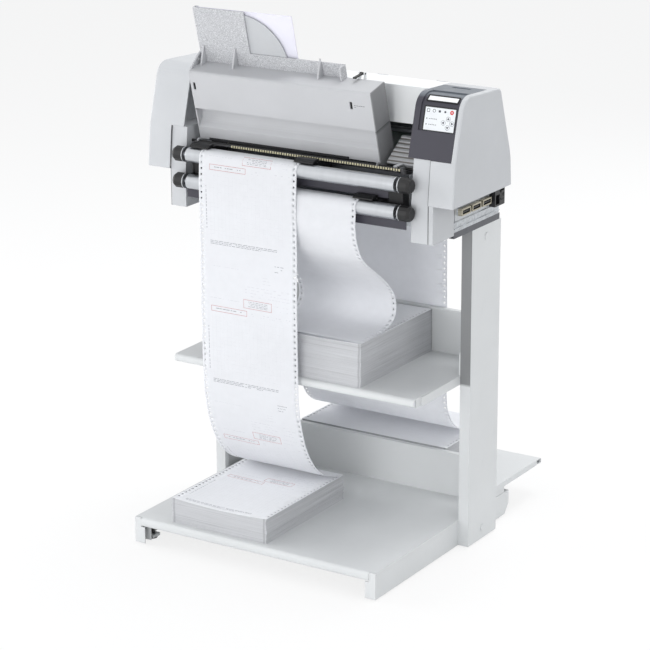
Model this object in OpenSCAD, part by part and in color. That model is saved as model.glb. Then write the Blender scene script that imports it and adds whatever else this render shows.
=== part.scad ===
// Dot matrix printer on its stand, loaded with fanfold paper.
// Frame: X to the right seen from the front, Y to the rear, Z up from the floor,
// origin at the middle of the footprint.  All sizes in millimetres.

/* [Stand] */
// Clear width between the two columns
stand_w = 600; // [560:1:680]
// Depth from the front lip of the tray to the rear lip of the rear shelf
stand_depth = 728; // [690:1:800]
// Distance from the front lip to the middle of the columns
col_setback = 407; // [395:1:420]
// Thickness of a column across the machine
col_w = 24; // [18:1:36]
// Depth of a column
col_d = 124; // [100:1:134]
// Height of a column's top
col_h = 700; // [680:1:800]
// Gauge of the folded sheet steel
sheet_t = 2; // [1.5:0.1:3]
// Height of the foot beams' top
foot_h = 54; // [44:1:70]
// Reach of a foot beam in front of the column middle
foot_front = 383; // [360:1:390]
// Reach of a foot beam behind the column middle
foot_rear = 166; // [140:1:200]
// Width of a foot beam's flanges
foot_flange = 25; // [18:1:40]
// Radius of a glide's foot
glide_r = 11; // [8:0.5:11.5]
// Height of a glide below the foot beam
glide_h = 3; // [2:0.5:8]
// Radius of the bolts that hold the stand together
stand_bolt_r = 5; // [3:0.5:6]

/* [Shelves] */
// Height of the folded edge along a shelf's sides
tray_edge = 6; // [5:0.5:12]
// Height of the front lip of the bottom tray
tray_lip = 20; // [14:1:30]
// Inset of the tray lip from the ends
lip_inset = 16; // [12:1:20]
// Radius of the rolled lips
nose_r = 7; // [4:0.5:9]
// Height of the back walls of the tray and of the middle shelf
back_h = 98; // [80:1:130]
// Width of the hem on top of a back wall
hem_w = 11; // [6:1:16]
// Distance from the column middle to a back wall
back_y = 58; // [45:1:62]
// Height of the middle shelf's surface
mid_z = 384; // [300:1:420]
// Reach of the middle shelf in front of the column middle
mid_front = 251; // [245:1:300]
// Depth of the middle shelf's side flanges
mid_flange = 20; // [14:1:30]
// Gap between the middle shelf and a column, filled by the shelf arms
arm_t = 3; // [2:0.5:5]
// Height of the rear shelf's surface
rear_z = 81; // [75:1:100]
// Height of the rear shelf's folded edge
rear_edge = 12; // [9:1:20]
// Height of the two bars that carry the printer
bar_h = 13; // [10:1:20]
// Width of a printer support bar
bar_w = 19; // [14:1:22]
// Reach of a support bar in front of the column middle
bar_front = 139; // [120:1:150]
// Reach of a support bar behind the column middle
bar_rear = 55; // [50:1:60]

/* [Printer body] */
// Overall width over the two end housings
body_w = 742; // [730:1:760]
// Wall of the plastic covers
wall = 3; // [2:0.2:4]
// Height of the housings' lower edge above the printer's underside
housing_z = 73; // [70:1:80]
// Height of the housings' top above the printer's underside
housing_top = 290; // [286:1:300]
// Inner end of the right housing, from the middle
right_in = 262; // [261:1:264]
// Inner end of the left housing, from the middle
left_in = 283; // [280:1:290]
// Inner side of the right front pillar
pillar_right_in = 274; // [268:1:280]
// Outer side of the right front pillar
pillar_right_x = 313; // [308:1:318]
// Width of the right housing's tongue beside its pillar
tongue_w = 11; // [8:1:14]
// Inner side of the left front pillar
pillar_left_in = 275; // [270:1:280]
// Outer side of the left front pillar
pillar_left_x = 314; // [310:1:320]
// Distance from the column middle to the pillars' front
pillar_y = 226; // [222:1:227]
// Height of the pillars' top above the printer's underside
pillar_top = 165; // [155:1:172]
// Drop of the pillars below the printer's underside
pillar_drop = 6; // [0:1:12]
// Height of the base pan
pan_h = 22; // [16:1:30]
// Gap between neighbouring covers
cover_gap = 2; // [1:0.5:3]

/* [Sheet table] */
// Left end of the sheet table
table_left = -259; // [-262:1:-255]
// Right end of the sheet table
table_right = 183; // [175:1:186]
// Forward lean of the table when it stands up
table_lean = 14.9; // [12:0.1:17]
// Height of the table's face along its own slope
table_h = 157; // [150:1:165]
// Depth of the table's box
table_d = 55; // [48:1:56]
// Height of the lip over the table's channel, along the slope
lip_t = 72; // [66:1:80]
// Depth of the channel under the lip
channel_d = 12; // [8:1:14]
// Radius of the rod that the table swings on
hinge_r = 3; // [2:0.5:3.5]
// Height of the tall part of the sheet support
support_h = 121; // [100:1:125]
// Width of the tall part of the sheet support
support_w = 126; // [122:1:140]
// Height of the low strip of the sheet support
strip_h = 29; // [24:1:36]
// Right end of the low strip
strip_right = 96; // [80:1:110]
// Radius of the swing-out sector
sector_r = 106; // [90:1:106]

/* [Paper transport] */
// Radius of the two guide rollers
roller_r = 15.5; // [12:0.5:16]
// Distance from the column middle to the rollers' axes
roller_y = 245; // [243:1:250]
// Height of the upper roller's axis above the printer's underside
roller_up = 114; // [112:0.5:116]
// Height of the lower roller's axis above the printer's underside
roller_low = 57; // [55:0.5:58]
// Half length of a roller over its end caps
roller_x = 287; // [280:1:292]
// Length of a roller's end cap
cap_l = 29; // [24:1:30]
// Radius of a roller's axle
axle_r = 5; // [4:0.5:6]
// Width of a tractor
tractor_w = 46; // [40:1:50]
// Radius of the tractor guide rods
tractor_rod_r = 4; // [3:0.5:4.5]
// Width across the flats of the square drive shafts
drive_w = 10; // [8:0.5:10.5]
// Pins on a sprocket
sprocket_pins = 8; // [7:1:8]
// Width of a sprocket
sprocket_w = 7; // [5:0.5:8]
// Radius of a feed pin
feed_pin_r = 1.9; // [1.5:0.1:1.9]

/* [Print mechanism] */
// Distance from the middle to the inner face of a side frame
frame_x = 256; // [254:1:257]
// Gauge of the side frames
frame_t = 3; // [2:0.5:4]
// Radius of the carriage rods
carriage_rod_r = 6; // [4:0.5:7]
// Width of the print head carriage
carriage_w = 76; // [60:1:90]
// Height of the carriage rods above the printer's underside
carriage_z = 190; // [186:1:194]
// Radius of the belt pulleys
pulley_r = 11; // [8:0.5:12]
// Thickness of the carriage belt
belt_t = 1.6; // [1.2:0.1:2]
// Half distance between the belt pulleys
pulley_x = 228; // [220:1:232]
// Radius of the pulleys' spindles
spindle_r = 3; // [2:0.5:4]

/* [Paper] */
// Width of the narrow paper
paper_w = 241; // [230:1:245]
// Width of the wide paper at the rear
wide_w = 378; // [340:1:380]
// Length of a form of the narrow paper
form_l = 304.8; // [300:0.1:304.8]
// Length of a form of the wide paper
wide_form = 216; // [190:1:220]
// Thickness of the paper strip, as a solid
paper_t = 0.4; // [0.3:0.1:0.5]
// Left edge of the printed paper
out_x = -215; // [-220:1:-210]
// Left edge of the narrow supply
in_x = -75; // [-80:1:-72]
// Left edge of the wide supply
wide_x = -186; // [-190:1:-175]
// Height of the printed stack
out_stack_h = 55; // [40:1:60]
// Height of the narrow supply stack
in_stack_h = 96; // [70:1:100]
// Height of the wide supply stack
wide_stack_h = 78; // [60:1:80]

/* [Fits] */
// Radial clearance of shafts in their bearings
fit = 0.05; // [0.02:0.01:0.1]
// Clearance between parts that pass each other
gap = 0.5; // [0.4:0.1:0.8]

/* [Hidden] */
$fn = 48;
line_names = ["upper_left", "upper_right", "lower_left", "lower_right"];

// Colours
steel_c = "#dcdede";
cover_c = "#ccced2";
table_c = "#c4c5c8";
slate_c = "#4b4655";
black_c = "#1b1b1e";
metal_c = "#b9bcc0";
paper_c = "#eeeff4";

// Stand levels and places
col_y = col_setback - stand_depth / 2;
half_w = stand_w / 2;
rear_end = stand_depth / 2 - col_y;
tray_top = foot_h + tray_edge;
shelf_half = half_w - arm_t;
printer_z = col_h + bar_h;
pan_x = half_w + col_w;

// Printer levels, measured from the printer's underside
paper_ride = roller_r + gap + paper_t / 2;
paper_up = roller_up + paper_ride;
paper_low = roller_low + paper_ride;
hinge_y = -199;
hinge_z = 134;
pin_pitch = 12.7;
pin_r = sprocket_pins * pin_pitch / (2 * PI);
drive_y = -170;
rod_y = -136;
pin_len = 1.6;
hole_inset = 6.35;

// Places of the four feed lines, one for each tractor
pin_x = [
    out_x + hole_inset,
    out_x + paper_w - hole_inset,
    in_x + hole_inset,
    in_x + paper_w - hole_inset
];
pin_side = [-1, 1, -1, 1];
pin_z = [paper_up, paper_up, paper_low, paper_low];

// ---------------------------------------------------------------- helpers

// Point lists
function unit(v) = v / norm(v);
function left_of(v) = [-v[1], v[0]];
function wrap(i, n) = (i + n) % n;

// Moves each side of a counter-clockwise outline inwards by d
function inset_outline(p, d) = [
    for (i = [0 : len(p) - 1])
        let (
            n = len(p),
            a = left_of(unit(p[i] - p[wrap(i - 1, n)])),
            b = left_of(unit(p[wrap(i + 1, n)] - p[i]))
        )
        p[i] + d * (a + b) / (1 + a * b)
];

// Points of the arc that rounds the corner b between a and c
function corner_arc(a, b, c, r, steps) =
    let (
        u = unit(a - b),
        w = unit(c - b),
        half = acos(u * w) / 2,
        centre = b + unit(u + w) * r / sin(half),
        start = b + u * r / tan(half),
        end = b + w * r / tan(half),
        a0 = atan2(start[1] - centre[1], start[0] - centre[0]),
        a1 = atan2(end[1] - centre[1], end[0] - centre[0]),
        turn = (a1 - a0 + 540) % 360 - 180
    )
    [for (k = [0 : steps]) centre + r * [cos(a0 + turn * k / steps), sin(a0 + turn * k / steps)]];

// Outline p with each corner rounded by the matching radius
function round_outline(p, radii, steps = 6) = [
    for (i = [0 : len(p) - 1])
        let (n = len(p))
        each corner_arc(p[wrap(i - 1, n)], p[i], p[wrap(i + 1, n)], max(0.05, radii[i]), steps)
];

// Direction across an open path at point i
function path_normal(p, i) =
    let (
        n = len(p),
        a = left_of(unit(p[min(i + 1, n - 1)] - p[min(i, n - 2)])),
        b = left_of(unit(p[max(i, 1)] - p[max(i - 1, 0)]))
    )
    (a + b) / (1 + a * b);

// Outline of a strip of thickness t along the open path p
function strip_outline(p, t) = concat(
    [for (i = [0 : len(p) - 1]) p[i] + path_normal(p, i) * t / 2],
    [for (i = [len(p) - 1 : -1 : 0]) p[i] - path_normal(p, i) * t / 2]
);

// Smooth curve through the points p, with steps pieces in each span
function spline(p, steps = 5) = concat(
    [
        for (i = [0 : len(p) - 2])
            for (k = [0 : steps - 1])
                let (
                    t = k / steps,
                    a = p[max(i - 1, 0)],
                    b = p[i],
                    c = p[i + 1],
                    d = p[min(i + 2, len(p) - 1)]
                )
                0.5 * (2 * b + (c - a) * t + (2 * a - 5 * b + 4 * c - d) * t * t
                    + (3 * b - a - 3 * c + d) * t * t * t)
    ],
    [p[len(p) - 1]]
);

function arc_points(centre, r, a0, a1, steps) = [
    for (k = [0 : steps])
        let (a = a0 + (a1 - a0) * k / steps)
        centre + r * [cos(a), sin(a)]
];

// Extrudes a (Y, Z) outline from x0 to x1
module along_x(x0, x1) {
    translate([x0, 0, 0]) rotate([90, 0, 90]) linear_extrude(x1 - x0) children();
}

// Extrudes an (X, Z) outline from y0 to y1
module along_y(y0, y1) {
    translate([0, y1, 0]) rotate([90, 0, 0]) linear_extrude(y1 - y0) children();
}

// Rod along X through (y, z)
module rod_x(x0, x1, r, y, z) {
    translate([x0, y, z]) rotate([0, 90, 0]) cylinder(h = x1 - x0, r = r);
}

// Rod along Y through (x, z)
module rod_y(y0, y1, r, x, z) {
    translate([x, y0, z]) rotate([-90, 0, 0]) cylinder(h = y1 - y0, r = r);
}

// Box from its two corners
module block(low, high) {
    translate(low) cube(high - low);
}

// Children at the right and mirrored to the left
module both_sides() {
    children();
    mirror([1, 0, 0]) children();
}

// Stand frame: Y from the middle of the columns
module at_stand() {
    translate([0, col_y, 0]) children();
}

// Printer frame: Y from the middle of the columns, Z from the printer's underside
module at_printer() {
    translate([0, col_y, printer_z]) children();
}

// Table frame: Y runs away from the face, Z up its slope, from the hinge rod
module at_table() {
    at_printer() translate([0, hinge_y, hinge_z]) rotate([table_lean, 0, 0]) children();
}

// ---------------------------------------------------------------- stand

module columns() color(steel_c) at_stand() both_sides() {
    difference() {
        block([half_w, -col_d / 2, glide_h], [half_w + col_w, col_d / 2, col_h]);
        block(
            [half_w + sheet_t, -col_d / 2 + sheet_t, glide_h - 1],
            [half_w + col_w - sheet_t, col_d / 2 - sheet_t, col_h - sheet_t]
        );
        block(
            [half_w - 1, -col_d / 2 + foot_flange / 2, glide_h - 1],
            [half_w + 2 * sheet_t, col_d / 2 - foot_flange / 2, col_h - 2 * foot_flange]
        );
        for (z = bolt_levels) rod_x(half_w - 1, half_w + col_w + 1, stand_bolt_r, 0, z);
    }
}

bolt_levels = [foot_h / 2, col_h - foot_flange];

// Side outline of a foot beam, with a sloping rear end
function foot_outline(d) = inset_outline([
    [-foot_front, glide_h],
    [foot_rear - foot_h / 3, glide_h],
    [foot_rear, foot_h * 0.45],
    [foot_rear, foot_h],
    [-foot_front, foot_h]
], d);

// Beams with an end plate in front that closes the tray's corner
module foot_beams() color(steel_c) at_stand() both_sides() {
    difference() {
        along_x(half_w - foot_flange, half_w) polygon(foot_outline(0));
        along_x(half_w - foot_flange - 1, half_w - sheet_t) polygon(foot_outline(sheet_t));
        block(
            [half_w - foot_flange - 1, -foot_front + sheet_t, glide_h - 1],
            [half_w - sheet_t, foot_rear - foot_h / 3, glide_h + sheet_t + 1]
        );
        rod_x(half_w - foot_flange - 1, half_w + 1, stand_bolt_r, 0, bolt_levels[0]);
        for (y = glide_places) translate([glide_x, y, 0]) cylinder(h = foot_h / 2, r = glide_r / 2);
    }
    block([half_w - foot_flange, end_y, glide_h],
        [half_w, end_y + sheet_t, tray_top - tray_lip - gap]);
    block([half_w - lip_inset + gap, end_y, glide_h], [half_w, end_y + 2 * sheet_t, tray_top]);
    block([half_w - sheet_t, end_y, glide_h], [half_w, -foot_front + sheet_t, foot_h]);
    for (y = glide_places)
        difference() {
            block(
                [half_w - foot_flange, y - glide_r, glide_h + 1],
                [half_w - sheet_t, y + glide_r, glide_h + 1 + 3 * sheet_t]
            );
            translate([glide_x, y, 0]) cylinder(h = foot_h / 2, r = glide_r / 2 + fit);
        }
}

end_y = sheet_t - col_setback;
glide_x = half_w - sheet_t - glide_r;
glide_places = [-foot_front + 2 * glide_r, foot_rear - foot_h / 3 - 2 * glide_r];

module foot_glides() color(black_c) at_stand() both_sides() {
    for (y = glide_places) translate([glide_x, y, 0]) {
        cylinder(h = glide_h * 0.6, r1 = glide_r - 1, r2 = glide_r, $fn = 48);
        translate([0, 0, glide_h * 0.6]) cylinder(h = glide_h * 0.4 + 1 - gap / 4, r = glide_r);
        cylinder(h = foot_h / 2 - 4, r = glide_r / 2);
    }
}

// Path of a shelf from the top of its back wall to its rolled front lip
function shelf_path(z, front, lip, wall_h) = concat(
    [[back_y + hem_w - sheet_t / 2, z + wall_h - 3 * sheet_t]],
    [[back_y + hem_w - sheet_t / 2, z + wall_h - sheet_t / 2]],
    [[back_y, z + wall_h - sheet_t / 2]],
    [[back_y, z - sheet_t / 2]],
    arc_points([-front + nose_r + sheet_t / 2, z - sheet_t / 2 - nose_r], nose_r, 90, 180, 6),
    arc_points([-front + nose_r + sheet_t / 2, z - lip + nose_r + sheet_t / 2], nose_r, 180, 270, 6)
);

module bottom_tray() color(steel_c) at_stand() {
    along_x(-half_w + lip_inset, half_w - lip_inset)
        polygon(strip_outline(shelf_path(tray_top, col_setback, tray_lip, back_h), sheet_t));
    both_sides() {
        block([half_w - lip_inset, nose_r - col_setback, tray_top - sheet_t],
            [half_w, back_y + sheet_t / 2, tray_top]);
        block([half_w - sheet_t, nose_r - col_setback, foot_h],
            [half_w, back_y + sheet_t / 2, tray_top]);
        block([half_w - lip_inset, back_y - sheet_t / 2, tray_top - sheet_t],
            [half_w - gap, back_y + sheet_t / 2, tray_top + back_h]);
    }
}

module rear_shelf() color(steel_c) at_stand() {
    start = max(col_d / 2, back_y + hem_w) + gap;
    top = rear_z - sheet_t / 2;
    path = concat(
        [[start + sheet_t / 2, rear_z - rear_edge], [start + sheet_t / 2, top]],
        arc_points([rear_end - nose_r / 2 - sheet_t / 2, top - nose_r / 2], nose_r / 2, 90, 0, 5),
        [[rear_end - sheet_t / 2, rear_z - rear_edge + sheet_t / 2]],
        [[rear_end - 2 * nose_r, rear_z - rear_edge + sheet_t / 2]]
    );
    along_x(-half_w, half_w) polygon(strip_outline(path, sheet_t));
    both_sides()
        block([half_w - sheet_t, start, rear_z - rear_edge],
            [half_w, rear_end - 3 * nose_r, rear_z]);
}

module mid_shelf() color(steel_c) at_stand() {
    lip = mid_flange - sheet_t;
    along_x(-shelf_half, shelf_half)
        polygon(strip_outline(shelf_path(mid_z, mid_front, lip, back_h), sheet_t));
    both_sides()
        block([shelf_half - sheet_t, nose_r - mid_front + 2 * sheet_t, mid_z - mid_flange],
            [shelf_half, back_y, mid_z]);
}

// Arm under the middle shelf, with a sloped side plate on the column's inner face
module shelf_arm() {
    along_x(shelf_half, half_w) polygon([
        [-mid_front + 4 * nose_r, mid_z - mid_flange],
        [back_y, mid_z - mid_flange],
        [back_y, mid_z + back_h],
        [-col_d / 2, mid_z + back_h / 2],
        [-col_d / 2, mid_z],
        [-mid_front + 4 * nose_r, mid_z - sheet_t]
    ]);
}

module shelf_brackets() color(steel_c) at_stand() both_sides() {
    shelf_arm();
    block([half_w - foot_flange, col_d / 2 + hem_w, foot_h],
        [half_w - sheet_t, foot_rear - foot_h / 3, rear_z - sheet_t]);
}

module support_bars() color(slate_c) at_stand() both_sides() difference() {
    block([half_w + col_w - bar_w, -bar_front, col_h], [half_w + col_w, bar_rear, printer_z]);
    block([half_w + col_w - bar_w + sheet_t, -bar_front - 1, col_h + sheet_t],
        [half_w + col_w - sheet_t, -bar_front + 4 * sheet_t, printer_z - sheet_t]);
}

// Countersunk bolt heads on the columns and small screws on the shelf arms
module stand_screws() color(metal_c) at_stand() both_sides() {
    for (z = bolt_levels) {
        rod_x(half_w - sheet_t - 3, half_w + col_w + 0.2, stand_bolt_r - fit, 0, z);
        rod_x(half_w + col_w, half_w + col_w + sheet_t, stand_bolt_r + 2.5, 0, z);
    }
    for (y = [-col_d / 4, col_d / 4])
        rod_x(shelf_half - sheet_t, shelf_half, 3.5, y, mid_z + back_h / 4);
}

// ---------------------------------------------------------------- printer body

// Side outline of the printer: sloped convex front, flat top, sloped rear
body_outline = [
    [-229, housing_z],
    [17, housing_z],
    [12, housing_z + 66],
    [-36, housing_top - 5],
    [-184, housing_top + 1],
    [-220, housing_z + 87]
];
body_radii = [3, 4, 120, 14, 36, 100];

function body_shape(d) = round_outline(inset_outline(body_outline, d), body_radii - [for (r = body_radii) d]);

module base_pan() color(metal_c) at_printer() {
    difference() {
        block([-pan_x, -bar_front, 0], [pan_x, bar_rear - 4, pan_h]);
        block([-pan_x + sheet_t, -bar_front + sheet_t, sheet_t],
            [pan_x - sheet_t, bar_rear - 4 - sheet_t, pan_h + 1]);
    }
    both_sides() for (z = [pan_h * 0.3, pan_h - sheet_t])
        block([pan_x - sheet_t, -bar_front, z], [pan_x + sheet_t, bar_rear - 4, z + sheet_t]);
}

// Side outline of a pillar, moved in by d: its upper front follows the sloped housings
pillar_slope = 9.5;

function pillar_side(d, top) = [
    [-pillar_y + d, -pillar_drop - d],
    [-bar_front - gap + d, -pillar_drop - d],
    [-bar_front - gap + d, top - d],
    [-pillar_y + pillar_slope + d, top - d],
    [-pillar_y + d, housing_z]
];

// Hollow cover, open below and behind
module pillar(x0, x1, top) {
    difference() {
        along_x(x0, x1) polygon(pillar_side(0, top));
        along_x(x0 + wall, x1 - wall) polygon(pillar_side(wall, top));
    }
}

module front_pillars() color(cover_c) at_printer() {
    difference() {
        pillar(-pillar_left_x + gap, -pillar_left_in, pillar_top);
        rod_x(-pillar_left_in - wall - 1, -pillar_left_in + 1, hinge_r + fit, hinge_y, hinge_z);
    }
    pillar(pillar_right_in, pillar_right_x - gap, pillar_top - gap);
}

// End housing: outer skin closed at the end, open at the bottom and the inner side
module housing(inner, step) {
    outer = body_w / 2;
    difference() {
        union() {
            along_x(inner, outer - wall) polygon(body_shape(0));
            hull() {
                along_x(outer - wall - 0.01, outer - wall) polygon(body_shape(0));
                along_x(outer - 0.8, outer - 0.79) polygon(body_shape(1.2));
                along_x(outer - 0.01, outer) polygon(body_shape(wall));
            }
        }
        along_x(inner - 1, outer - wall - 1) polygon(body_shape(wall));
        block([inner - 1, -pillar_y - reach, 0], [step, reach, pillar_top]);
        block([step - 1, -pillar_y + wall + 1, 0], [outer - wall - 1, 0, housing_z + wall + 1]);
    }
}

module housing_left() color(cover_c) at_printer()
    mirror([1, 0, 0]) housing(left_in, pillar_left_x);

bezel_rim = 11;
bezel_right = body_w / 2 - bezel_rim;
bezel_rear = -75;
bezel_d = 6;
reach = 60;

// A narrow tongue hangs from its front edge, beside the pillar
module housing_right() color(cover_c) at_printer() {
    difference() {
        housing(right_in, pillar_right_x);
        block([right_in - 1, -pillar_y - reach, pillar_top - 1], [bezel_right, bezel_rear, housing_top + 9]);
    }
    pillar(pillar_right_x, pillar_right_x + tongue_w, housing_z + wall);
}

// Band of the body's skin between two depths
module skin(x0, x1, d0, d1) {
    difference() {
        along_x(x0, x1) polygon(body_shape(d0));
        along_x(x0 - 1, x1 + 1) polygon(body_shape(d1));
    }
}

// Frame of the panel's sloped face: Y into the face, Z up it
face_lean = atan2(
    body_outline[4][0] - body_outline[5][0],
    body_outline[4][1] - body_outline[5][1]
);

module at_face() {
    at_printer() translate([0, body_outline[5][0], body_outline[5][1]])
        rotate([-face_lean, 0, 0]) children();
}

keypad_low = 64;
keypad_high = 110;
keypad_left = right_in + 23;
keypad_right = bezel_right - 4;
recess_d = 3;
recess_side = 10;
recess_rear = -142;
keypad_t = 1;
window_d = 11;
window_t = 1.8;
window_w = keypad_right - keypad_left - 5;
latch_pocket_x = 30;
latch_pocket_w = 40;
latch_pocket_d = 10;

module control_bezel() color(slate_c) {
    difference() {
        at_printer() intersection() {
            skin(right_in, bezel_right - gap, 0, bezel_d);
            block([right_in - 1, -pillar_y - reach, pillar_top],
                [bezel_right, bezel_rear - gap, housing_top + 9]);
        }
        at_printer() intersection() {
            skin(keypad_left - recess_side, keypad_right + 1, -2, recess_d);
            recess_zone();
        }
        at_printer() translate([right_in + latch_pocket_x, bezel_rear - 24, housing_top - 4])
            cube([latch_pocket_w, latch_pocket_d, 9]);
        at_corner() block([-gap, -window_d / 2 - gap, -recess_d - window_t + gap / 2],
            [window_w + gap, window_d / 2 + gap, 5]);
    }
}

// Zone of the recess: the face above the keypad's lower edge, and the front of the top
module recess_zone() {
    block([right_in, -pillar_y - reach, body_outline[5][1] + keypad_low * cos(face_lean) - 2],
        [bezel_right, recess_rear, housing_top + 9]);
}

module keypad() color("#e6e8eb") at_face()
    block([keypad_left, recess_d - keypad_t - gap / 10, keypad_low],
        [keypad_right - 1, recess_d - gap / 10, keypad_high]);

// Middle of the round corner between the face and the top
corner_centre = inset_outline(body_outline, body_radii[4])[4];
corner_dir = unit(body_outline[4] - corner_centre);

// Frame on the skin at the middle of that corner: X from the keypad's left, Z outwards
module at_corner() {
    at_printer() translate([keypad_left, corner_centre[0], corner_centre[1]])
        rotate([atan2(corner_dir[1], corner_dir[0]) - 90, 0, 0])
            translate([0, 0, body_radii[4]]) children();
}

module display_window() color("#f4f6f8") at_corner()
    block([0, -window_d / 2, -recess_d - window_t + 0.6],
        [window_w, window_d / 2, -recess_d + 0.6]);

cover_hinge = [-42, housing_top - 10];
barrel_r = 4;
barrel_pin_r = 1.5;
cover_rows = [-240, -80, 80, 220];
barrel_l = 24;
cover_left = -left_in + cover_gap;
cover_right = right_in - cover_gap;

module rear_cover() color(cover_c) at_printer() {
    intersection() {
        skin(cover_left, cover_right, 0, wall);
        block([cover_left, cover_hinge[0] + 7, housing_z + 14], [cover_right, 60, housing_top + 9]);
    }
    for (x = cover_rows) {
        rod_x(x, x + barrel_l, barrel_r, cover_hinge[0], cover_hinge[1]);
        rod_x(x - barrel_l, x + 1, barrel_pin_r, cover_hinge[0], cover_hinge[1]);
        block([x, cover_hinge[0], cover_hinge[1] - wall],
            [x + barrel_l, cover_hinge[0] + 12, cover_hinge[1]]);
        block([x, cover_hinge[0] + 8, cover_hinge[1] - wall],
            [x + barrel_l, cover_hinge[0] + 12, cover_hinge[1] + wall]);
    }
}

latch_x = 124;
latch_y = -166;
latch_z = housing_top + 21;
lug_x = 7;
lug_t = 2;
lever_l = 30;
lever_lean = 8;
apron_y = -134;
apron_x = 250;
apron_h = 78;
cover_drop = 30;
cover_rise = 9;
leaf_d = 12;
lug_reach = 4;

module top_cover() color("#e9ebee") at_printer() {
    intersection() {
        skin(cover_left, cover_right, 0, wall);
        block([cover_left, apron_y, housing_top - cover_drop],
            [cover_right, cover_hinge[0] - barrel_r, housing_top + cover_rise]);
    }
    block([-apron_x, apron_y, housing_top - apron_h],
        [apron_x, apron_y + wall, housing_top - wall + 1]);
    for (x = cover_rows)
        difference() {
            union() {
                rod_x(x - barrel_l + gap, x - gap, barrel_r, cover_hinge[0], cover_hinge[1]);
                block([x - barrel_l + gap, cover_hinge[0] - leaf_d, cover_hinge[1] - 1],
                    [x - gap, cover_hinge[0], cover_hinge[1] + barrel_r - 0.5]);
            }
            rod_x(x - barrel_l - 1, x + 1, barrel_pin_r + fit, cover_hinge[0], cover_hinge[1]);
        }
    block([latch_x - lug_x, latch_y - lug_reach - 1, housing_top - wall + gap],
        [latch_x + lug_x, apron_y + wall, housing_top + gap]);
    for (x = [latch_x - lug_x, latch_x + lug_x - lug_t])
        difference() {
            block([x, latch_y - lug_reach, housing_top - 1],
                [x + lug_t, latch_y + lug_reach, latch_z + wall]);
            rod_x(x - 1, x + lug_t + 1, barrel_pin_r + fit, latch_y, latch_z);
        }
}

// Lever that reaches forward over the sheet table's rear edge
module cover_latch() color(black_c) at_printer() {
    rod_x(latch_x - lug_x - 1, latch_x + lug_x + 1, barrel_pin_r, latch_y, latch_z);
    rod_x(latch_x - 4, latch_x + 4, 2.6, latch_y, latch_z);
    translate([latch_x, latch_y, latch_z]) rotate([lever_lean, 0, 0]) {
        block([-3, -lever_l, -1.5], [3, 0, 1.5]);
        rod_x(-3.5, 3.5, 2, -lever_l, 0);
    }
}

// ---------------------------------------------------------------- sheet table

face_s = 8.4;
table_back = face_s + table_d;

module table_hinge_rod() color(black_c) at_printer()
    rod_x(-pillar_left_in - wall, rod_right + 6, hinge_r, hinge_y, hinge_z);

rod_right = 222;

// Path of the table's front skin, from its lower edge to the rear of its top
table_skin = concat(
    [[face_s + wall / 2, 2], [face_s + wall / 2, 30]],
    arc_points([face_s - 12, 60], 32, -45, 12, 6),
    [[face_s + wall / 2, lip_t + wall / 2]],
    [[face_s + wall / 2, table_h - 4]],
    arc_points([face_s + 4 + wall / 2, table_h - 4 - wall / 2], 4, 150, 90, 3),
    [[table_back - wall / 2, table_h - wall / 2]],
    [[table_back - wall / 2, table_h - 16]]
);

table_side = [
    [table_back - 4, -18],
    [table_back, 10],
    [table_back, table_h],
    [face_s + 2, table_h],
    [face_s, table_h - 4],
    [face_s, -3],
    [face_s + 8, -10]
];

module table_end(x) {
    difference() {
        along_x(x, x + wall) union() {
            polygon(table_side);
            circle(r = 7);
            translate([0, -4]) square([face_s + 6, 8]);
        }
        rod_x(x - 1, x + wall + 1, hinge_r + fit, 0, 0);
    }
}

module sheet_table() color(table_c) at_table() {
    difference() {
        along_x(table_left + 1, table_right - 1) polygon(strip_outline(table_skin, wall));
        for (x = [table_left + 6, table_right - 54])
            block([x, 0, lip_t + 44], [x + 6, face_s + 2 * wall, lip_t + 60]);
    }
    table_end(table_left);
    table_end(table_right - wall);
    for (x = [table_left + 110, table_left + 220, table_left + 330])
        block([x, face_s + wall - 0.5, lip_t + 20], [x + 2, face_s + 26, table_h - wall + 0.5]);
    for (x = gusset_places) along_x(x, x + 4) polygon([
        [table_back - wall - gap, table_h - 1],
        [table_back - wall - gap, table_h + gusset_h],
        [table_back - wall - gap - gusset_d, table_h - 1]
    ]);
}

gusset_h = 37;
gusset_d = 21;

gusset_places = [table_left + 9, table_left + 88, table_left + 296];

// Panel behind the table with a low strip, end returns and the pivot of the sector
module sheet_support() color("#b4b5b8") at_table() {
    back = table_back - wall;
    block([table_left, back, table_h], [table_left + support_w, table_back, table_h + support_h]);
    block([table_left, back, table_h], [strip_right, table_back, table_h + strip_h]);
    block([strip_right - 4, back - 18, table_h], [strip_right, back + 1, table_h + strip_h]);
    translate([sector_x, table_back - 1, sector_t]) rotate([-90, 0, 0]) cylinder(h = wall + 1, r = 5);
    block([table_left, table_back - 1, table_h], [table_left + wall, table_back + 7, table_h + support_h]);
    block([table_left, table_back + 6, table_h],
        [table_left + 3 * wall, table_back + 7, table_h + support_h]);
    difference() {
        along_x(table_left - wall, table_left + 1) polygon([
            [face_s + 10, table_h + gap],
            [table_back, table_h + gap],
            [table_back, table_h + 22],
            [table_back - 12, table_h + 18]
        ]);
        rod_x(table_left - wall - 1, table_left + 2, 2.5, table_back - 14, table_h + 9);
    }
}

sector_x = table_left + support_w - 16;
sector_t = table_h + 8;

// Quarter disc that swings out from behind the tall part of the support
module support_sector() color("#b8b9bc") at_table() {
    y0 = table_back + gap / 2;
    difference() {
        union() {
            translate([sector_x, y0 + 2, sector_t]) rotate([90, 0, 0]) linear_extrude(2)
                polygon(concat([[0, 0]], arc_points([0, 0], sector_r, 0, 90, 32)));
            translate([sector_x, y0, sector_t]) rotate([-90, 0, 0]) cylinder(h = 2, r = 9);
        }
        translate([sector_x, y0 - 1, sector_t]) rotate([-90, 0, 0]) cylinder(h = 6, r = 5 + fit);
    }
}

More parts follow.
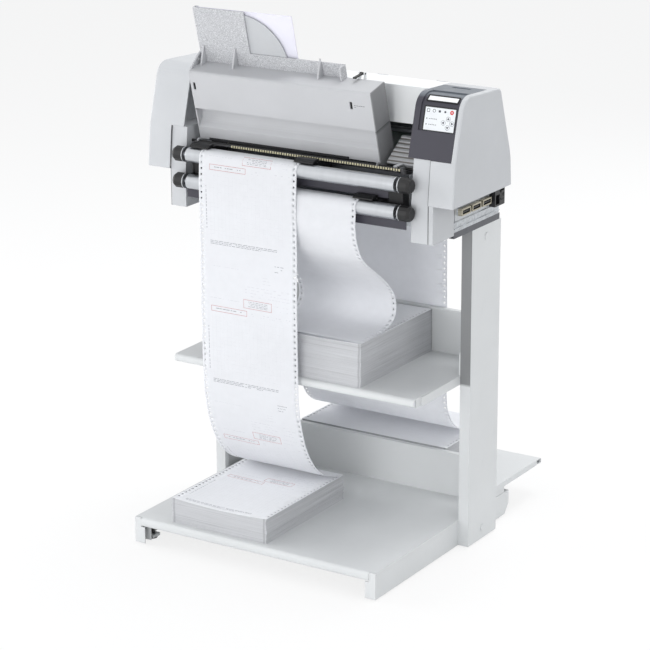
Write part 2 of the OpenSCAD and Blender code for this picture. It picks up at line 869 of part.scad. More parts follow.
// Thin plate behind the sector that slides up for long sheets
module support_extension() color("#dcdce6") at_table()
    translate([table_left + wall + gap, table_back + 4, table_h + 2])
        cube([extension_w, extension_t, support_h - wall]);

extension_w = 235.5;
extension_t = 1.5;

// ---------------------------------------------------------------- paper transport

// Side plate of the printer frame, low in front where the table swings
frame_front = -204;
frame_side = [
    [frame_front, roller_low - 16],
    [-bar_front - 4, pan_h + 2],
    [-bar_front + 4, pan_h + 2],
    [-bar_front + 4, sheet_t],
    [bar_rear - 20, sheet_t],
    [bar_rear - 20, housing_z - 14],
    [6, housing_z + 10],
    [2, housing_z + 60],
    [-46, housing_top - 30],
    [-118, housing_top - 30],
    [-118, hinge_z - 9],
    [frame_front, hinge_z - 9]
];

idler_y = -27;
belt_z = carriage_z;
belt_h = 9;

module side_frames() color(metal_c) at_printer() {
    both_sides() difference() {
        along_x(frame_x, frame_x + frame_t) polygon(frame_side);
        for (z = [paper_up, paper_low]) {
            rod_x(frame_x - 1, frame_x + frame_t + 1, drive_w / 2 + fit, drive_y, z - pin_r);
            rod_x(frame_x - 1, frame_x + frame_t + 1, tractor_rod_r + fit, rod_y, z - pin_r);
        }
        for (y = carriage_rods)
            rod_x(frame_x - 1, frame_x + frame_t + 1, carriage_rod_r + fit, y, carriage_z);
    }
    block([pulley_x - 10, idler_y - 10, belt_z - belt_h - 6],
        [frame_x + 1, idler_y + 10, belt_z - belt_h - 3]);
    translate([pulley_x, idler_y, belt_z - belt_h - 4]) cylinder(h = 2 * belt_h, r = spindle_r);
    block([-frame_x - 1, idler_y - 22, belt_z - belt_h - 6],
        [-pulley_x - 24, idler_y + 22, belt_z - belt_h - 3]);
}

// Tube with a through axle and a faceted end cap on each end
module guide_roller(z) {
    tube_x = roller_x - cap_l - 6;
    rod_x(-roller_x + 4, roller_x - 4, axle_r, -roller_y, z);
    rod_x(-tube_x, tube_x, roller_r, -roller_y, z);
    both_sides() translate([roller_x - cap_l + 2, -roller_y, z]) rotate([0, 90, 0]) {
        cylinder(h = cap_l - 8, r = roller_r + 1, $fn = 12);
        translate([0, 0, cap_l - 8]) cylinder(h = 6, r1 = roller_r + 1, r2 = roller_r - 3, $fn = 12);
    }
}

module upper_roller() color("#d8dadd") at_printer() guide_roller(roller_up);

module lower_roller() color("#d8dadd") at_printer() guide_roller(roller_low);

// The arms are cut back to here between the two rollers
arm_back = -228;

// Black arms that reach forward from the side frames to the rollers
module roller_brackets() color(black_c) at_printer() both_sides() difference() {
    arm_x = roller_x - cap_l - 6 + gap;
    union() {
        along_x(arm_x, frame_x) polygon([
            [-roller_y - 8, roller_low - 8],
            [-roller_y + 30, roller_low - 14],
            [frame_front + 24, roller_low - 8],
            [frame_front + 24, roller_up + 4],
            [-roller_y + 12, roller_up + 9],
            [-roller_y - 8, roller_up + 8],
            [-roller_y - 8, roller_up - 8],
            [arm_back, roller_up - roller_r],
            [arm_back, roller_low + roller_r],
            [-roller_y - 8, roller_low + 8]
        ]);
        block([frame_x - 34, -roller_y + roller_r + 3, roller_low + 4],
            [arm_x + 1, -roller_y + roller_r + 9, roller_up - 12]);
    }
    for (z = [roller_up, roller_low]) {
        rod_x(arm_x - 1, frame_x + 1, axle_r + fit, -roller_y, z);
        rod_x(frame_x - 40, arm_x, roller_r + 2, -roller_y, z);
    }
}

// Serrated bar just above the upper roller, on two end blocks
module tear_bar() color("#6f7072") at_printer() {
    low = roller_up + roller_r + tear_gap;
    block([-tear_x, tear_y, low], [frame_x - 1, tear_y + tear_t, low + tear_h]);
    for (x = [-tear_x + 2 : tooth_pitch : frame_x - tooth_pitch - 1])
        block([x, tear_y - 2, low + 1], [x + tooth_pitch / 2, tear_y + 1, low + tear_h + 0.5]);
    for (x = [frame_x - tear_end, -frame_x])
        block([x, tear_y + 2, low - 6], [x + tear_end, tear_y + 10, low + wall]);
    block([-frame_x + 4, tear_y, low + 1], [-tear_x + 2, tear_y + wall, low + 4]);
}

tear_gap = 5.5;
tear_x = 160;
tear_y = -224;
tear_t = 4;
tear_h = 5;
tear_end = 8;
tooth_pitch = 6;

// Dark guide plates behind and under the rollers
module guide_strips() color(slate_c) at_printer() {
    block([-frame_x + 34 + gap, -roller_y + roller_r + 3, roller_up - roller_r - 21],
        [frame_x - 34 - gap, -roller_y + roller_r + 5, roller_up - roller_r - 1]);
    along_x(-frame_x - 6, frame_x + 14) polygon([
        [-roller_y + 6, roller_low - roller_r - 20],
        [-roller_y + 8, roller_low - roller_r - 20],
        [-roller_y + 8, roller_low - roller_r - 2],
        [-roller_y + 6, roller_low - roller_r - 2]
    ]);
    both_sides()
        block([frame_x - 12, -roller_y + 7, roller_low - roller_r - 16],
            [frame_x - 8, frame_front + 6, roller_low - roller_r - 10]);
}

tractor_front = -228;
tractor_back = -118;
door_front = -182;
door_back = -126;
door_t = 2.4;
tractor_h = 24;
slot_half = sprocket_w / 2 + 0.6;

// Nose of a tractor that reaches over the guide roller
nose_side = [
    [tractor_front - 22, 1.4],
    [tractor_front + 1, 1.4],
    [tractor_front + 1, 3.2],
    [tractor_front - 1, 3.2],
    [tractor_front - 1, 9],
    [tractor_front - 12, 8.5],
    [tractor_front - 22, 4]
];

// Tractor for the feed line at x = 0, with its body on the +X side
module tractor() {
    inner = -8;
    outer = tractor_w + inner;
    difference() {
        union() {
            block([inner, tractor_front, -tractor_h], [outer, tractor_back, -1]);
            block([outer - 14, tractor_front, -2], [outer, tractor_front + 22, 3.2]);
            block([inner, tractor_front, 1], [outer, tractor_front + 22, 3.2]);
            along_x(inner, outer) polygon(nose_side);
        }
        block([-slot_half, drive_y - pin_r - 3, -tractor_h - 1], [slot_half, drive_y + pin_r + 3, 2]);
        rod_x(inner - 1, outer + 1, drive_w * 0.75 + 0.4, drive_y, -pin_r);
        rod_x(inner - 1, outer + 1, tractor_rod_r + fit, rod_y, -pin_r);
    }
    for (y = [door_front - 5, door_back + 1]) {
        difference() {
            block([door_hinge - 3, y, -2], [door_hinge + 3, y + 4, door_z + 3]);
            rod_y(y - 1, y + 5, barrel_pin_r, door_hinge, door_z);
        }
    }
    rod_y(door_front - 5, door_back + 5, barrel_pin_r, door_hinge, door_z);
}

door_hinge = 22;
door_z = 3.4;

// Door that holds the paper down on the pins, with a slot for the pins
module tractor_door() {
    difference() {
        union() {
            block([-7, door_front, 1], [door_hinge, door_back, 1 + door_t]);
            rod_y(door_front, door_back, 3, door_hinge, door_z);
        }
        block([-3.4, drive_y - 16, 0], [3.4, drive_y + 16, 8]);
        rod_y(door_front - 1, door_back + 1, barrel_pin_r + fit, door_hinge, door_z);
    }
}

// Pin wheel with a square hole for the drive shaft
module sprocket() {
    translate([0, drive_y, -pin_r]) rotate([0, 90, 0]) difference() {
        union() {
            translate([0, 0, -sprocket_w / 2]) cylinder(h = sprocket_w, r = pin_r - 0.6);
            for (k = [0 : sprocket_pins - 1]) rotate([0, 0, k * 360 / sprocket_pins])
                rotate([0, 90, 0]) {
                    cylinder(h = pin_r, r = feed_pin_r, $fn = 24);
                    translate([0, 0, pin_r])
                        cylinder(h = pin_len, r1 = feed_pin_r, r2 = feed_pin_r / 2, $fn = 24);
                }
        }
        translate([-drive_w / 2 - 0.15, -drive_w / 2 - 0.15, -sprocket_w])
            cube([drive_w + 0.3, drive_w + 0.3, 2 * sprocket_w]);
    }
}

// Places a tractor's piece on feed line k, mirrored where the body lies to the left
module on_feed_line(k) {
    at_printer() translate([pin_x[k], 0, pin_z[k]])
        if (pin_side[k] < 0) mirror([1, 0, 0]) children();
        else children();
}

// Square shaft with round journals
module drive_shaft(z) {
    block([-frame_x + 2, drive_y - drive_w / 2, z - drive_w / 2],
        [frame_x - 2, drive_y + drive_w / 2, z + drive_w / 2]);
    rod_x(-frame_x - frame_t - 1, frame_x + frame_t + 1, drive_w / 2, drive_y, z);
}

module drive_shaft_upper() color(metal_c) at_printer() drive_shaft(paper_up - pin_r);

module drive_shaft_lower() color(metal_c) at_printer() drive_shaft(paper_low - pin_r);

carriage_rods = [-102, -60];

module guide_rods() color("#cfd2d6") at_printer() {
    for (z = [paper_up, paper_low])
        rod_x(-frame_x - frame_t, frame_x + frame_t, tractor_rod_r, rod_y, z - pin_r);
    for (y = carriage_rods)
        rod_x(-frame_x - frame_t, frame_x + frame_t, carriage_rod_r, y, carriage_z);
}

// ---------------------------------------------------------------- print mechanism

bed_front = -116;
bed_top = hinge_z - 6;
bed_back = -24;
bed_t = 10;
rib_pitch = 12;
rib_in = 6;
rib_h = 1;
skirt_low = 50;
ramp_y = -178;
ramp_h = 48;
tooth_y = 6;
tooth_z = 8;
tooth_w = 3.5;
tooth_h = 4;
tooth_step = [10, 6.9];
rod_seat = 6;

// Flat print bed with a skirt in front and a ribbed ramp at its right end
module platen_bed() color("#c9cace") at_printer() {
    block([-frame_x, bed_front, skirt_low], [frame_x, bed_front + sheet_t, bed_top - bed_t + 1]);
    block([-frame_x, bed_front, bed_top - bed_t], [frame_x, bed_back, bed_top]);
    for (y = [bed_front + 8 : rib_pitch : bed_back - rib_pitch])
        block([-frame_x + rib_in, y, bed_top - rib_h], [frame_x - rib_in, y + wall, bed_top + rib_h]);
    ramp_x = table_right + 2 * wall;
    difference() {
        union() {
            along_x(ramp_x, frame_x) polygon([
                [ramp_y, hinge_z + 2],
                [bed_front + 4, hinge_z + 2],
                [bed_front + 4, hinge_z + ramp_h],
                [bed_front, hinge_z + ramp_h],
                [ramp_y, hinge_z + 6]
            ]);
            block([ramp_x, bed_front + 1, bed_top - 1], [frame_x, bed_front + 4, hinge_z + 4]);
            for (k = [0 : 5]) along_x(ramp_x, frame_x)
                translate([ramp_y + tooth_y, hinge_z + tooth_z] + k * tooth_step) square([tooth_w, tooth_h]);
            block([rod_right - 2, hinge_y - rod_seat, hinge_z - rod_seat],
                [rod_right + 6, ramp_y + tooth_y, hinge_z + rod_seat]);
        }
        rod_x(rod_right - 3, rod_right + 7, hinge_r, hinge_y, hinge_z);
    }
}

head_y = -81;
head_half = 24;
head_d = 12;
head_nose = 9;
fin_pitch = 7;
fin_t = 3;
fin_d = 18;
carriage_h = 12;
carriage_front = -114;
saddle_in = 8;
cassette_half = 95;
cassette_front = -108;
cassette_low = 3;
cassette_h = 23;
knob_x = 62;
knob_r = 14;

module carriage() color(black_c) at_printer() {
    half = carriage_w / 2;
    difference() {
        union() {
            block([-half, carriage_front, carriage_z - carriage_h],
                [half, idler_y - pulley_r - 8, carriage_z + carriage_h]);
            block([-10, idler_y - pulley_r - 9, belt_z - belt_h - 6],
                [10, idler_y - pulley_r + 6, belt_z - belt_h / 2 - 2]);
            block([-10, idler_y - pulley_r - 9, belt_z + belt_h / 2 + 2],
                [10, idler_y - pulley_r + 6, belt_z + belt_h]);
        }
        for (y = carriage_rods)
            rod_x(-half - 1, half + 1, carriage_rod_r + fit, y, carriage_z);
        block([-half + saddle_in, head_y - head_d - 1, carriage_z - 20],
            [half - saddle_in, head_y + head_d + 1, carriage_z + 20]);
    }
}

// Impact head with a finned heat sink and a nose over the bed
module print_head() color("#8d9095") at_printer() {
    low = carriage_z - 26;
    top = carriage_z + carriage_h;
    block([-head_half, head_y - head_d, low], [head_half, head_y + head_d, top]);
    for (k = [-3 : 3])
        block([k * fin_pitch - fin_t / 2, head_y - fin_d, low - 14],
            [k * fin_pitch + fin_t / 2, head_y + fin_d, low + 1]);
    block([-head_nose, head_y - 7, bed_top + 4], [head_nose, head_y + 7, low]);
    both_sides()
        block([head_half - 1, head_y - 10, top - 3], [carriage_w / 2 - saddle_in, head_y + 10, top]);
}

module ribbon_cassette() color("#2a2b2e") at_printer() {
    low = carriage_z + carriage_h;
    top = low + cassette_low + cassette_h;
    difference() {
        block([-cassette_half, cassette_front, low + cassette_low],
            [cassette_half, idler_y - pulley_r - 10, top]);
        block([-head_half - 6, cassette_front + 16, low], [head_half + 6, head_y + 20, top + 4]);
    }
    for (x = [-knob_x, knob_x]) translate([x, head_y + 11, top]) cylinder(h = 2, r = knob_r);
    both_sides()
        block([carriage_w / 2 - 8, cassette_front, low], [carriage_w / 2, cassette_front + 13, low + 4]);
}

// Closed belt round the two pulleys
module carriage_belt() color(black_c) at_printer() translate([0, 0, belt_z - belt_h / 2])
    linear_extrude(belt_h) difference() {
        union() {
            for (x = [-pulley_x, pulley_x]) translate([x, idler_y]) circle(r = pulley_r + 0.3 + belt_t);
            translate([-pulley_x, idler_y - pulley_r - 0.3 - belt_t])
                square([2 * pulley_x, 2 * (pulley_r + 0.3 + belt_t)]);
        }
        for (x = [-pulley_x, pulley_x]) translate([x, idler_y]) circle(r = pulley_r + 0.3);
        translate([-pulley_x, idler_y - pulley_r - 0.3]) square([2 * pulley_x, 2 * (pulley_r + 0.3)]);
    }

// Toothed pulley with flanges, on a spindle at x
module belt_pulley(x) {
    translate([x, idler_y, belt_z - belt_h / 2 - 1.8]) difference() {
        union() {
            cylinder(h = belt_h + 3.6, r = pulley_r - 1);
            for (k = [0 : 17]) rotate([0, 0, k * 20])
                translate([pulley_r - 2, -0.9, 0]) cube([1.9, 1.8, belt_h + 3.6]);
            for (z = [0, belt_h + 2.4]) translate([0, 0, z]) cylinder(h = 1.2, r = pulley_r + 3);
        }
        translate([0, 0, -1]) cylinder(h = belt_h + 6, r = spindle_r + fit);
    }
}

module drive_pulley() color("#d9dadc") at_printer() belt_pulley(-pulley_x);

module idler_pulley() color("#d9dadc") at_printer() belt_pulley(pulley_x);

module carriage_motor() color("#3a3c40") at_printer() {
    top = belt_z - belt_h - 6;
    translate([-pulley_x, idler_y, 0]) {
        block([-20, -21, top - 42], [20, 21, top]);
        translate([0, 0, top]) cylinder(h = 2, r = 9);
        translate([0, 0, top]) cylinder(h = 3 * belt_h / 2 + 6, r = spindle_r);
    }
}

// The supply stands beside the right side frame, and the board beside the supply
board_size = [360, 150, 1.6];
supply_size = [80, 154, 38];
supply_side = 6;
board_gap = 20;
inner_front = -120;
board_rise = 8;
supply_at = [frame_x - supply_side - supply_size[0], inner_front, sheet_t];
board_at = [supply_at[0] - board_gap - board_size[0], inner_front, sheet_t + board_rise];
standoff_inset = 10;
standoff_r = 3;
chip_size = [34, 34, 3.4];
chip_pitch = 60;
can_r = 7;
can_h = 14;
can_pitch = 40;

module main_board() color("#2f6b45") at_printer() translate(board_at) {
    cube(board_size);
    for (x = [standoff_inset, board_size[0] - standoff_inset])
        for (y = [standoff_inset - 2, board_size[1] - standoff_inset])
            translate([x, y, sheet_t - board_at[2]]) cylinder(h = board_at[2] - sheet_t, r = standoff_r);
    translate([chip_pitch / 3 * 2, chip_size[1] - 4, board_size[2]])
        for (k = [0 : 4]) translate([k * chip_pitch, 0, 0]) cube(chip_size);
    translate([can_pitch * 0.75, board_size[1] - can_pitch, board_size[2]])
        for (k = [0 : 7]) translate([k * can_pitch, 0, 0]) cylinder(h = can_h, r = can_r);
}

vent_rim = 8;
vent_pitch = 14;
vent_w = 6;
vent_d = 4;

module power_supply() color("#a9adb1") at_printer() translate(supply_at) difference() {
    cube(supply_size);
    for (k = [0 : 9])
        translate([vent_rim, vent_rim + 2 + k * vent_pitch, supply_size[2] - vent_d])
            cube([supply_size[0] - 2 * vent_rim, vent_w, vent_d + 1]);
}

socket_size = [12, 36, 14];
socket_y = -128;
socket_pitch = 44;
inlet_d = 16;
inlet_w = 16;
inlet_h = 20;

// Plate on the right side with the data sockets and the mains inlet
module connector_block() color("#b9a98a") at_printer() {
    x0 = pan_x - sheet_t;
    block([x0, -bar_front + 2, pan_h], [pan_x, bar_rear - 6, housing_z - 14]);
    for (k = [0 : 2]) translate([pan_x, socket_y + k * socket_pitch, pan_h + 12]) {
        difference() {
            cube([socket_size[0], socket_size[1], socket_size[2]]);
            translate([socket_size[0] / 2, 3, 3])
                cube([socket_size[0], socket_size[1] - 6, socket_size[2] - 6]);
        }
        translate([5, 5, 5.5]) cube([6, socket_size[1] - 10, 3]);
    }
    difference() {
        block([pan_x, 4, pan_h + 2], [pan_x + inlet_d, 46, housing_z - 3]);
        translate([pan_x + 4, 8, pan_h + 6]) cube([inlet_d, inlet_w, inlet_h]);
        block([pan_x + 3, switch_y - 7.4, switch_z - 11],
            [pan_x + inlet_d + 1, switch_y + 7.4, switch_z + 11]);
        rod_y(switch_y - 10, switch_y + 10, 1.5 + fit, pan_x + 10, switch_z);
    }
}

switch_y = 35;
switch_z = pan_h + 24;

// Rocker of the mains switch on its own pins
module power_switch() color(black_c) at_printer() {
    rod_y(switch_y - 9, switch_y + 9, 1.5, pan_x + 10, switch_z);
    along_y(switch_y - 6.8, switch_y + 6.8) polygon([
        [pan_x + 7, switch_z - 9],
        [pan_x + 17, switch_z - 9.4],
        [pan_x + 14.5, switch_z],
        [pan_x + 18.5, switch_z + 9],
        [pan_x + 7, switch_z + 9]
    ]);
}

// ---------------------------------------------------------------- paper

roll_y = -roller_y;

// Centre line over the front of a roller, from its top to its front
function over_roller(z) = arc_points([roll_y, z], paper_ride, 90, 180, 10);

function bezier(a, b, c, d, steps) = [
    for (k = [0 : steps])
        let (t = k / steps, s = 1 - t)
        s * s * s * a + 3 * s * s * t * b + 3 * s * t * t * c + t * t * t * d
];

up_z = printer_z + roller_up;
low_z = printer_z + roller_low;
fold_1 = up_z - 191;
fold_2 = fold_1 - form_l * 0.987;
stack_top = tray_top + out_stack_h;
stack_front = -388;

module output_paper() color(paper_c) at_stand() {
    path = concat(
        [[tractor_front - 3, up_z + paper_ride]],
        over_roller(up_z),
        [[roll_y - paper_ride - 3, low_z], [roll_y - paper_ride - 1, fold_1]],
        [for (p = bezier([roll_y - paper_ride - 1, fold_1], [roll_y - 20, fold_1 - 90],
            [roll_y - 18, fold_2 + 90], [roll_y - 15, fold_2], 6)) if (p[1] < fold_1 - 1) p],
        [for (p = bezier([roll_y - 15, fold_2], [roll_y - 4, fold_2 - 115],
            [-195, stack_top + 8], [stack_front + form_l - 3, stack_top + 2], 12))
            if (p[1] < fold_2 - 1) p]
    );
    along_x(out_x, out_x + paper_w) polygon(strip_outline(path, paper_t));
    block([out_x + 1, stack_front, tray_top], [out_x + paper_w, stack_front + form_l, stack_top]);
}

in_top = mid_z + in_stack_h;

module input_paper() color(paper_c) at_stand() {
    path = concat(
        spline([
            [-239, in_top + 1],
            [-170, in_top + 2],
            [-122, in_top + 8],
            [-99, in_top + 32],
            [-105, in_top + 68],
            [-133, in_top + 100],
            [-180, in_top + 136],
            [-230, in_top + 173],
            [-254, in_top + 211],
            [roll_y - paper_ride - 1.2, low_z - 42],
            [roll_y - paper_ride, low_z - 12]
        ], 4),
        [for (k = [10 : -1 : 0]) over_roller(low_z)[k]],
        [[tractor_front - 3, low_z + paper_ride]]
    );
    along_x(in_x, in_x + paper_w) polygon(strip_outline(path, paper_t));
    block([in_x, -mid_front + 11, mid_z], [in_x + paper_w - 1, back_y - 3, in_top]);
}

rear_stack_y = 78;

module rear_paper() color(paper_c) at_stand() {
    top = rear_z + wide_stack_h;
    path = spline([
        [rear_stack_y + wide_form - 2, top + 1],
        [rear_stack_y + 140, top + 6],
        [rear_stack_y + 60, top + 26],
        [rear_stack_y + 12, top + 68],
        [rear_stack_y - 4, top + 130],
        [rear_stack_y - 6, top + 300],
        [rear_stack_y - 10, printer_z - 30],
        [rear_stack_y - 14, printer_z + 20],
        [rear_stack_y - 26, printer_z + pan_h + 22],
        [rear_stack_y - 48, printer_z + pan_h + 30]
    ], 4);
    along_x(wide_x, wide_x + wide_w) polygon(strip_outline(path, paper_t));
    block([wide_x, rear_stack_y, rear_z], [wide_x + wide_w - 1, rear_stack_y + wide_form, top]);
}

// ---------------------------------------------------------------- output

columns();
foot_beams();
foot_glides();
bottom_tray();
rear_shelf();
mid_shelf();
shelf_brackets();
support_bars();
stand_screws();
base_pan();
front_pillars();
housing_left();
housing_right();
rear_cover();
top_cover();
cover_latch();
table_hinge_rod();
sheet_table();
sheet_support();
support_sector();
support_extension();
control_bezel();
display_window();
keypad();
side_frames();
upper_roller();
lower_roller();
roller_brackets();
tear_bar();
guide_strips();
for (k = [0 : 3]) {
    color(black_c) on_feed_line(k) tractor();
    color(black_c) on_feed_line(k) tractor_door();
    color("#e0ddd0") on_feed_line(k) sprocket();
}
drive_shaft_upper();
drive_shaft_lower();
guide_rods();
platen_bed();
carriage();
print_head();
ribbon_cassette();
carriage_belt();
drive_pulley();
idler_pulley();
carriage_motor();
main_board();
power_supply();
connector_block();
power_switch();
output_paper();
input_paper();
rear_paper();
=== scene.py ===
import bisect
import math
import random

import bpy
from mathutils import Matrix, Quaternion, Vector


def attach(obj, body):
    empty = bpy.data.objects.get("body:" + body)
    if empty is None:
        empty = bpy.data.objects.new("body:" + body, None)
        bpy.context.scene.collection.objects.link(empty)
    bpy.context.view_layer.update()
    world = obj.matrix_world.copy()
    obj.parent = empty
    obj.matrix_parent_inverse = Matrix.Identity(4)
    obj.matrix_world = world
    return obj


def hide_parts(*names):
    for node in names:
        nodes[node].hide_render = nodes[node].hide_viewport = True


# Dot matrix printer on its stand: looks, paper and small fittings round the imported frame.
# The world is in metres: X to the right, Y to the rear, Z up from the floor.  The paper and
# the fittings are written in mm, with Y from the middle of the columns; to_world() turns
# such a place into a world place.

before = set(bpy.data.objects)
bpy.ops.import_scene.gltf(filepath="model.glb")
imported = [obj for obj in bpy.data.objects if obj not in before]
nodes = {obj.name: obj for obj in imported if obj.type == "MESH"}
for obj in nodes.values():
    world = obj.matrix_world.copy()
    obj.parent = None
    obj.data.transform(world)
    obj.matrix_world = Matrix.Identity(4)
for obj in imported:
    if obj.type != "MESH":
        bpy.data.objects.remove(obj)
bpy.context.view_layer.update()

MM = 0.001
COL_Y = 43.0  # middle of the columns
PRINTER_Z = 713.0  # underside of the printer
ROOT = "stand_and_frame"


# ---------------------------------------------------------------- camera, light, floor

AZIMUTH, ELEVATION, ROLL = math.radians(32.198), math.radians(17.208), math.radians(-0.255)
LOOK_AT, DISTANCE = Vector((-0.045159, 0.0, 0.434061)), 5.207
PICTURE, FOCAL = 650, 2408.4  # width of the picture and focal length, in its pixels
SENSOR = 36.0

LAMP_AIM = Vector((0, 0, 0.6))
AMBIENT = 0.60  # strength of the world's light
FLOOR_SHADE = 0.92  # the floor's own grey
FLOOR_SHARE = 0.80  # share of plain white in the floor as the camera sees it
FLOOR_HALF = 30.0
FLOOR_DROP = 0.0005  # gap under the glides


def make_camera():
    back = Vector((
        math.sin(AZIMUTH) * math.cos(ELEVATION),
        -math.cos(AZIMUTH) * math.cos(ELEVATION),
        math.sin(ELEVATION),
    ))
    data = bpy.data.cameras.new("camera")
    data.sensor_width = SENSOR
    data.lens = FOCAL / PICTURE * SENSOR
    data.clip_start, data.clip_end = 0.1, 100.0
    camera = bpy.data.objects.new("camera", data)
    bpy.context.scene.collection.objects.link(camera)
    camera.location = LOOK_AT + back * DISTANCE
    camera.rotation_mode = "QUATERNION"
    camera.rotation_quaternion = (-back).to_track_quat("-Z", "Y") @ Quaternion((0, 0, 1), ROLL)
    bpy.context.scene.camera = camera


def area_light(name, place, size, power):
    """Round lamp that shines at the middle of the printer's stand."""
    data = bpy.data.lights.new(name, "AREA")
    data.shape = "DISK"
    data.size = size
    data.energy = power
    light = bpy.data.objects.new(name, data)
    bpy.context.scene.collection.objects.link(light)
    light.location = place
    light.rotation_mode = "QUATERNION"
    light.rotation_quaternion = (LAMP_AIM - Vector(place)).to_track_quat("-Z", "Y")


def seen_directly(tree):
    """1 for a ray from the camera, off gloss or through glass, else 0."""
    path = tree.nodes.new("ShaderNodeLightPath")
    seen = path.outputs["Is Camera Ray"]
    for kind in ("Is Glossy Ray", "Is Transmission Ray"):
        either = tree.nodes.new("ShaderNodeMath")
        either.operation = "MAXIMUM"
        tree.links.new(seen, either.inputs[0])
        tree.links.new(path.outputs[kind], either.inputs[1])
        seen = either.outputs[0]
    return seen


def mix_to_surface(tree, output_kind, factor, first, second):
    """Ends a node tree with a mix of two shaders."""
    mix = tree.nodes.new("ShaderNodeMixShader")
    for value, socket in zip((factor, first, second), mix.inputs):
        tree.links.new(value, socket)
    out = tree.nodes.new(output_kind)
    tree.links.new(mix.outputs[0], out.inputs["Surface"])


def make_world():
    """Soft light from all round, and a plain white background."""
    world = bpy.data.worlds.new("studio")
    bpy.context.scene.world = world
    world.use_nodes = True
    tree = world.node_tree
    tree.nodes.clear()
    white = tree.nodes.new("ShaderNodeBackground")
    white.inputs["Color"].default_value = (1, 1, 1, 1)
    white.inputs["Strength"].default_value = 1.0
    fill = tree.nodes.new("ShaderNodeBackground")
    fill.inputs["Color"].default_value = (0.96, 0.98, 1.0, 1)
    fill.inputs["Strength"].default_value = AMBIENT
    mix_to_surface(tree, "ShaderNodeOutputWorld", seen_directly(tree), fill.outputs[0], white.outputs[0])


def make_floor():
    """A pale floor: the camera sees it nearly white, with the object's shadow kept."""
    half = FLOOR_HALF
    mesh = bpy.data.meshes.new("floor")
    corners = [(-half, -half, 0), (half, -half, 0), (half, half, 0), (-half, half, 0)]
    mesh.from_pydata(corners, [], [(0, 1, 2, 3)])
    floor = bpy.data.objects.new("floor", mesh)
    bpy.context.scene.collection.objects.link(floor)
    floor.location.z = -FLOOR_DROP
    material = bpy.data.materials.new("floor_white")
    material.use_nodes = True
    tree = material.node_tree
    tree.nodes.clear()
    matte = tree.nodes.new("ShaderNodeBsdfDiffuse")
    matte.inputs["Color"].default_value = (FLOOR_SHADE, FLOOR_SHADE, FLOOR_SHADE, 1)
    glow = tree.nodes.new("ShaderNodeEmission")
    glow.inputs["Color"].default_value = (1, 1, 1, 1)
    glow.inputs["Strength"].default_value = 1.0
    amount = tree.nodes.new("ShaderNodeMath")
    amount.operation = "MULTIPLY"
    amount.inputs[1].default_value = FLOOR_SHARE
    tree.links.new(seen_directly(tree), amount.inputs[0])
    mix_to_surface(tree, "ShaderNodeOutputMaterial", amount.outputs[0], matte.outputs[0], glow.outputs[0])
    floor.data.materials.append(material)


make_camera()
make_world()
area_light("rear", (0.7, 3.3, 1.8), 2.4, 32)
area_light("front", (0.2, -3.6, 0.9), 2.4, 44)
area_light("left", (-3.4, -1.2, 1.4), 2.2, 62)
area_light("top", (0.3, 0.9, 3.6), 2.0, 46)
area_light("side", (3.4, -0.9, 1.9), 2.0, 13)
make_floor()
bpy.context.scene.view_settings.view_transform = "Standard"


# ---------------------------------------------------------------- materials

def linear(rgb):
    """Colour written as 0-255 display values, as linear values."""
    out = []
    for c in rgb:
        c = c / 255.0
        out.append(c / 12.92 if c <= 0.04045 else ((c + 0.055) / 1.055) ** 2.4)
    return out


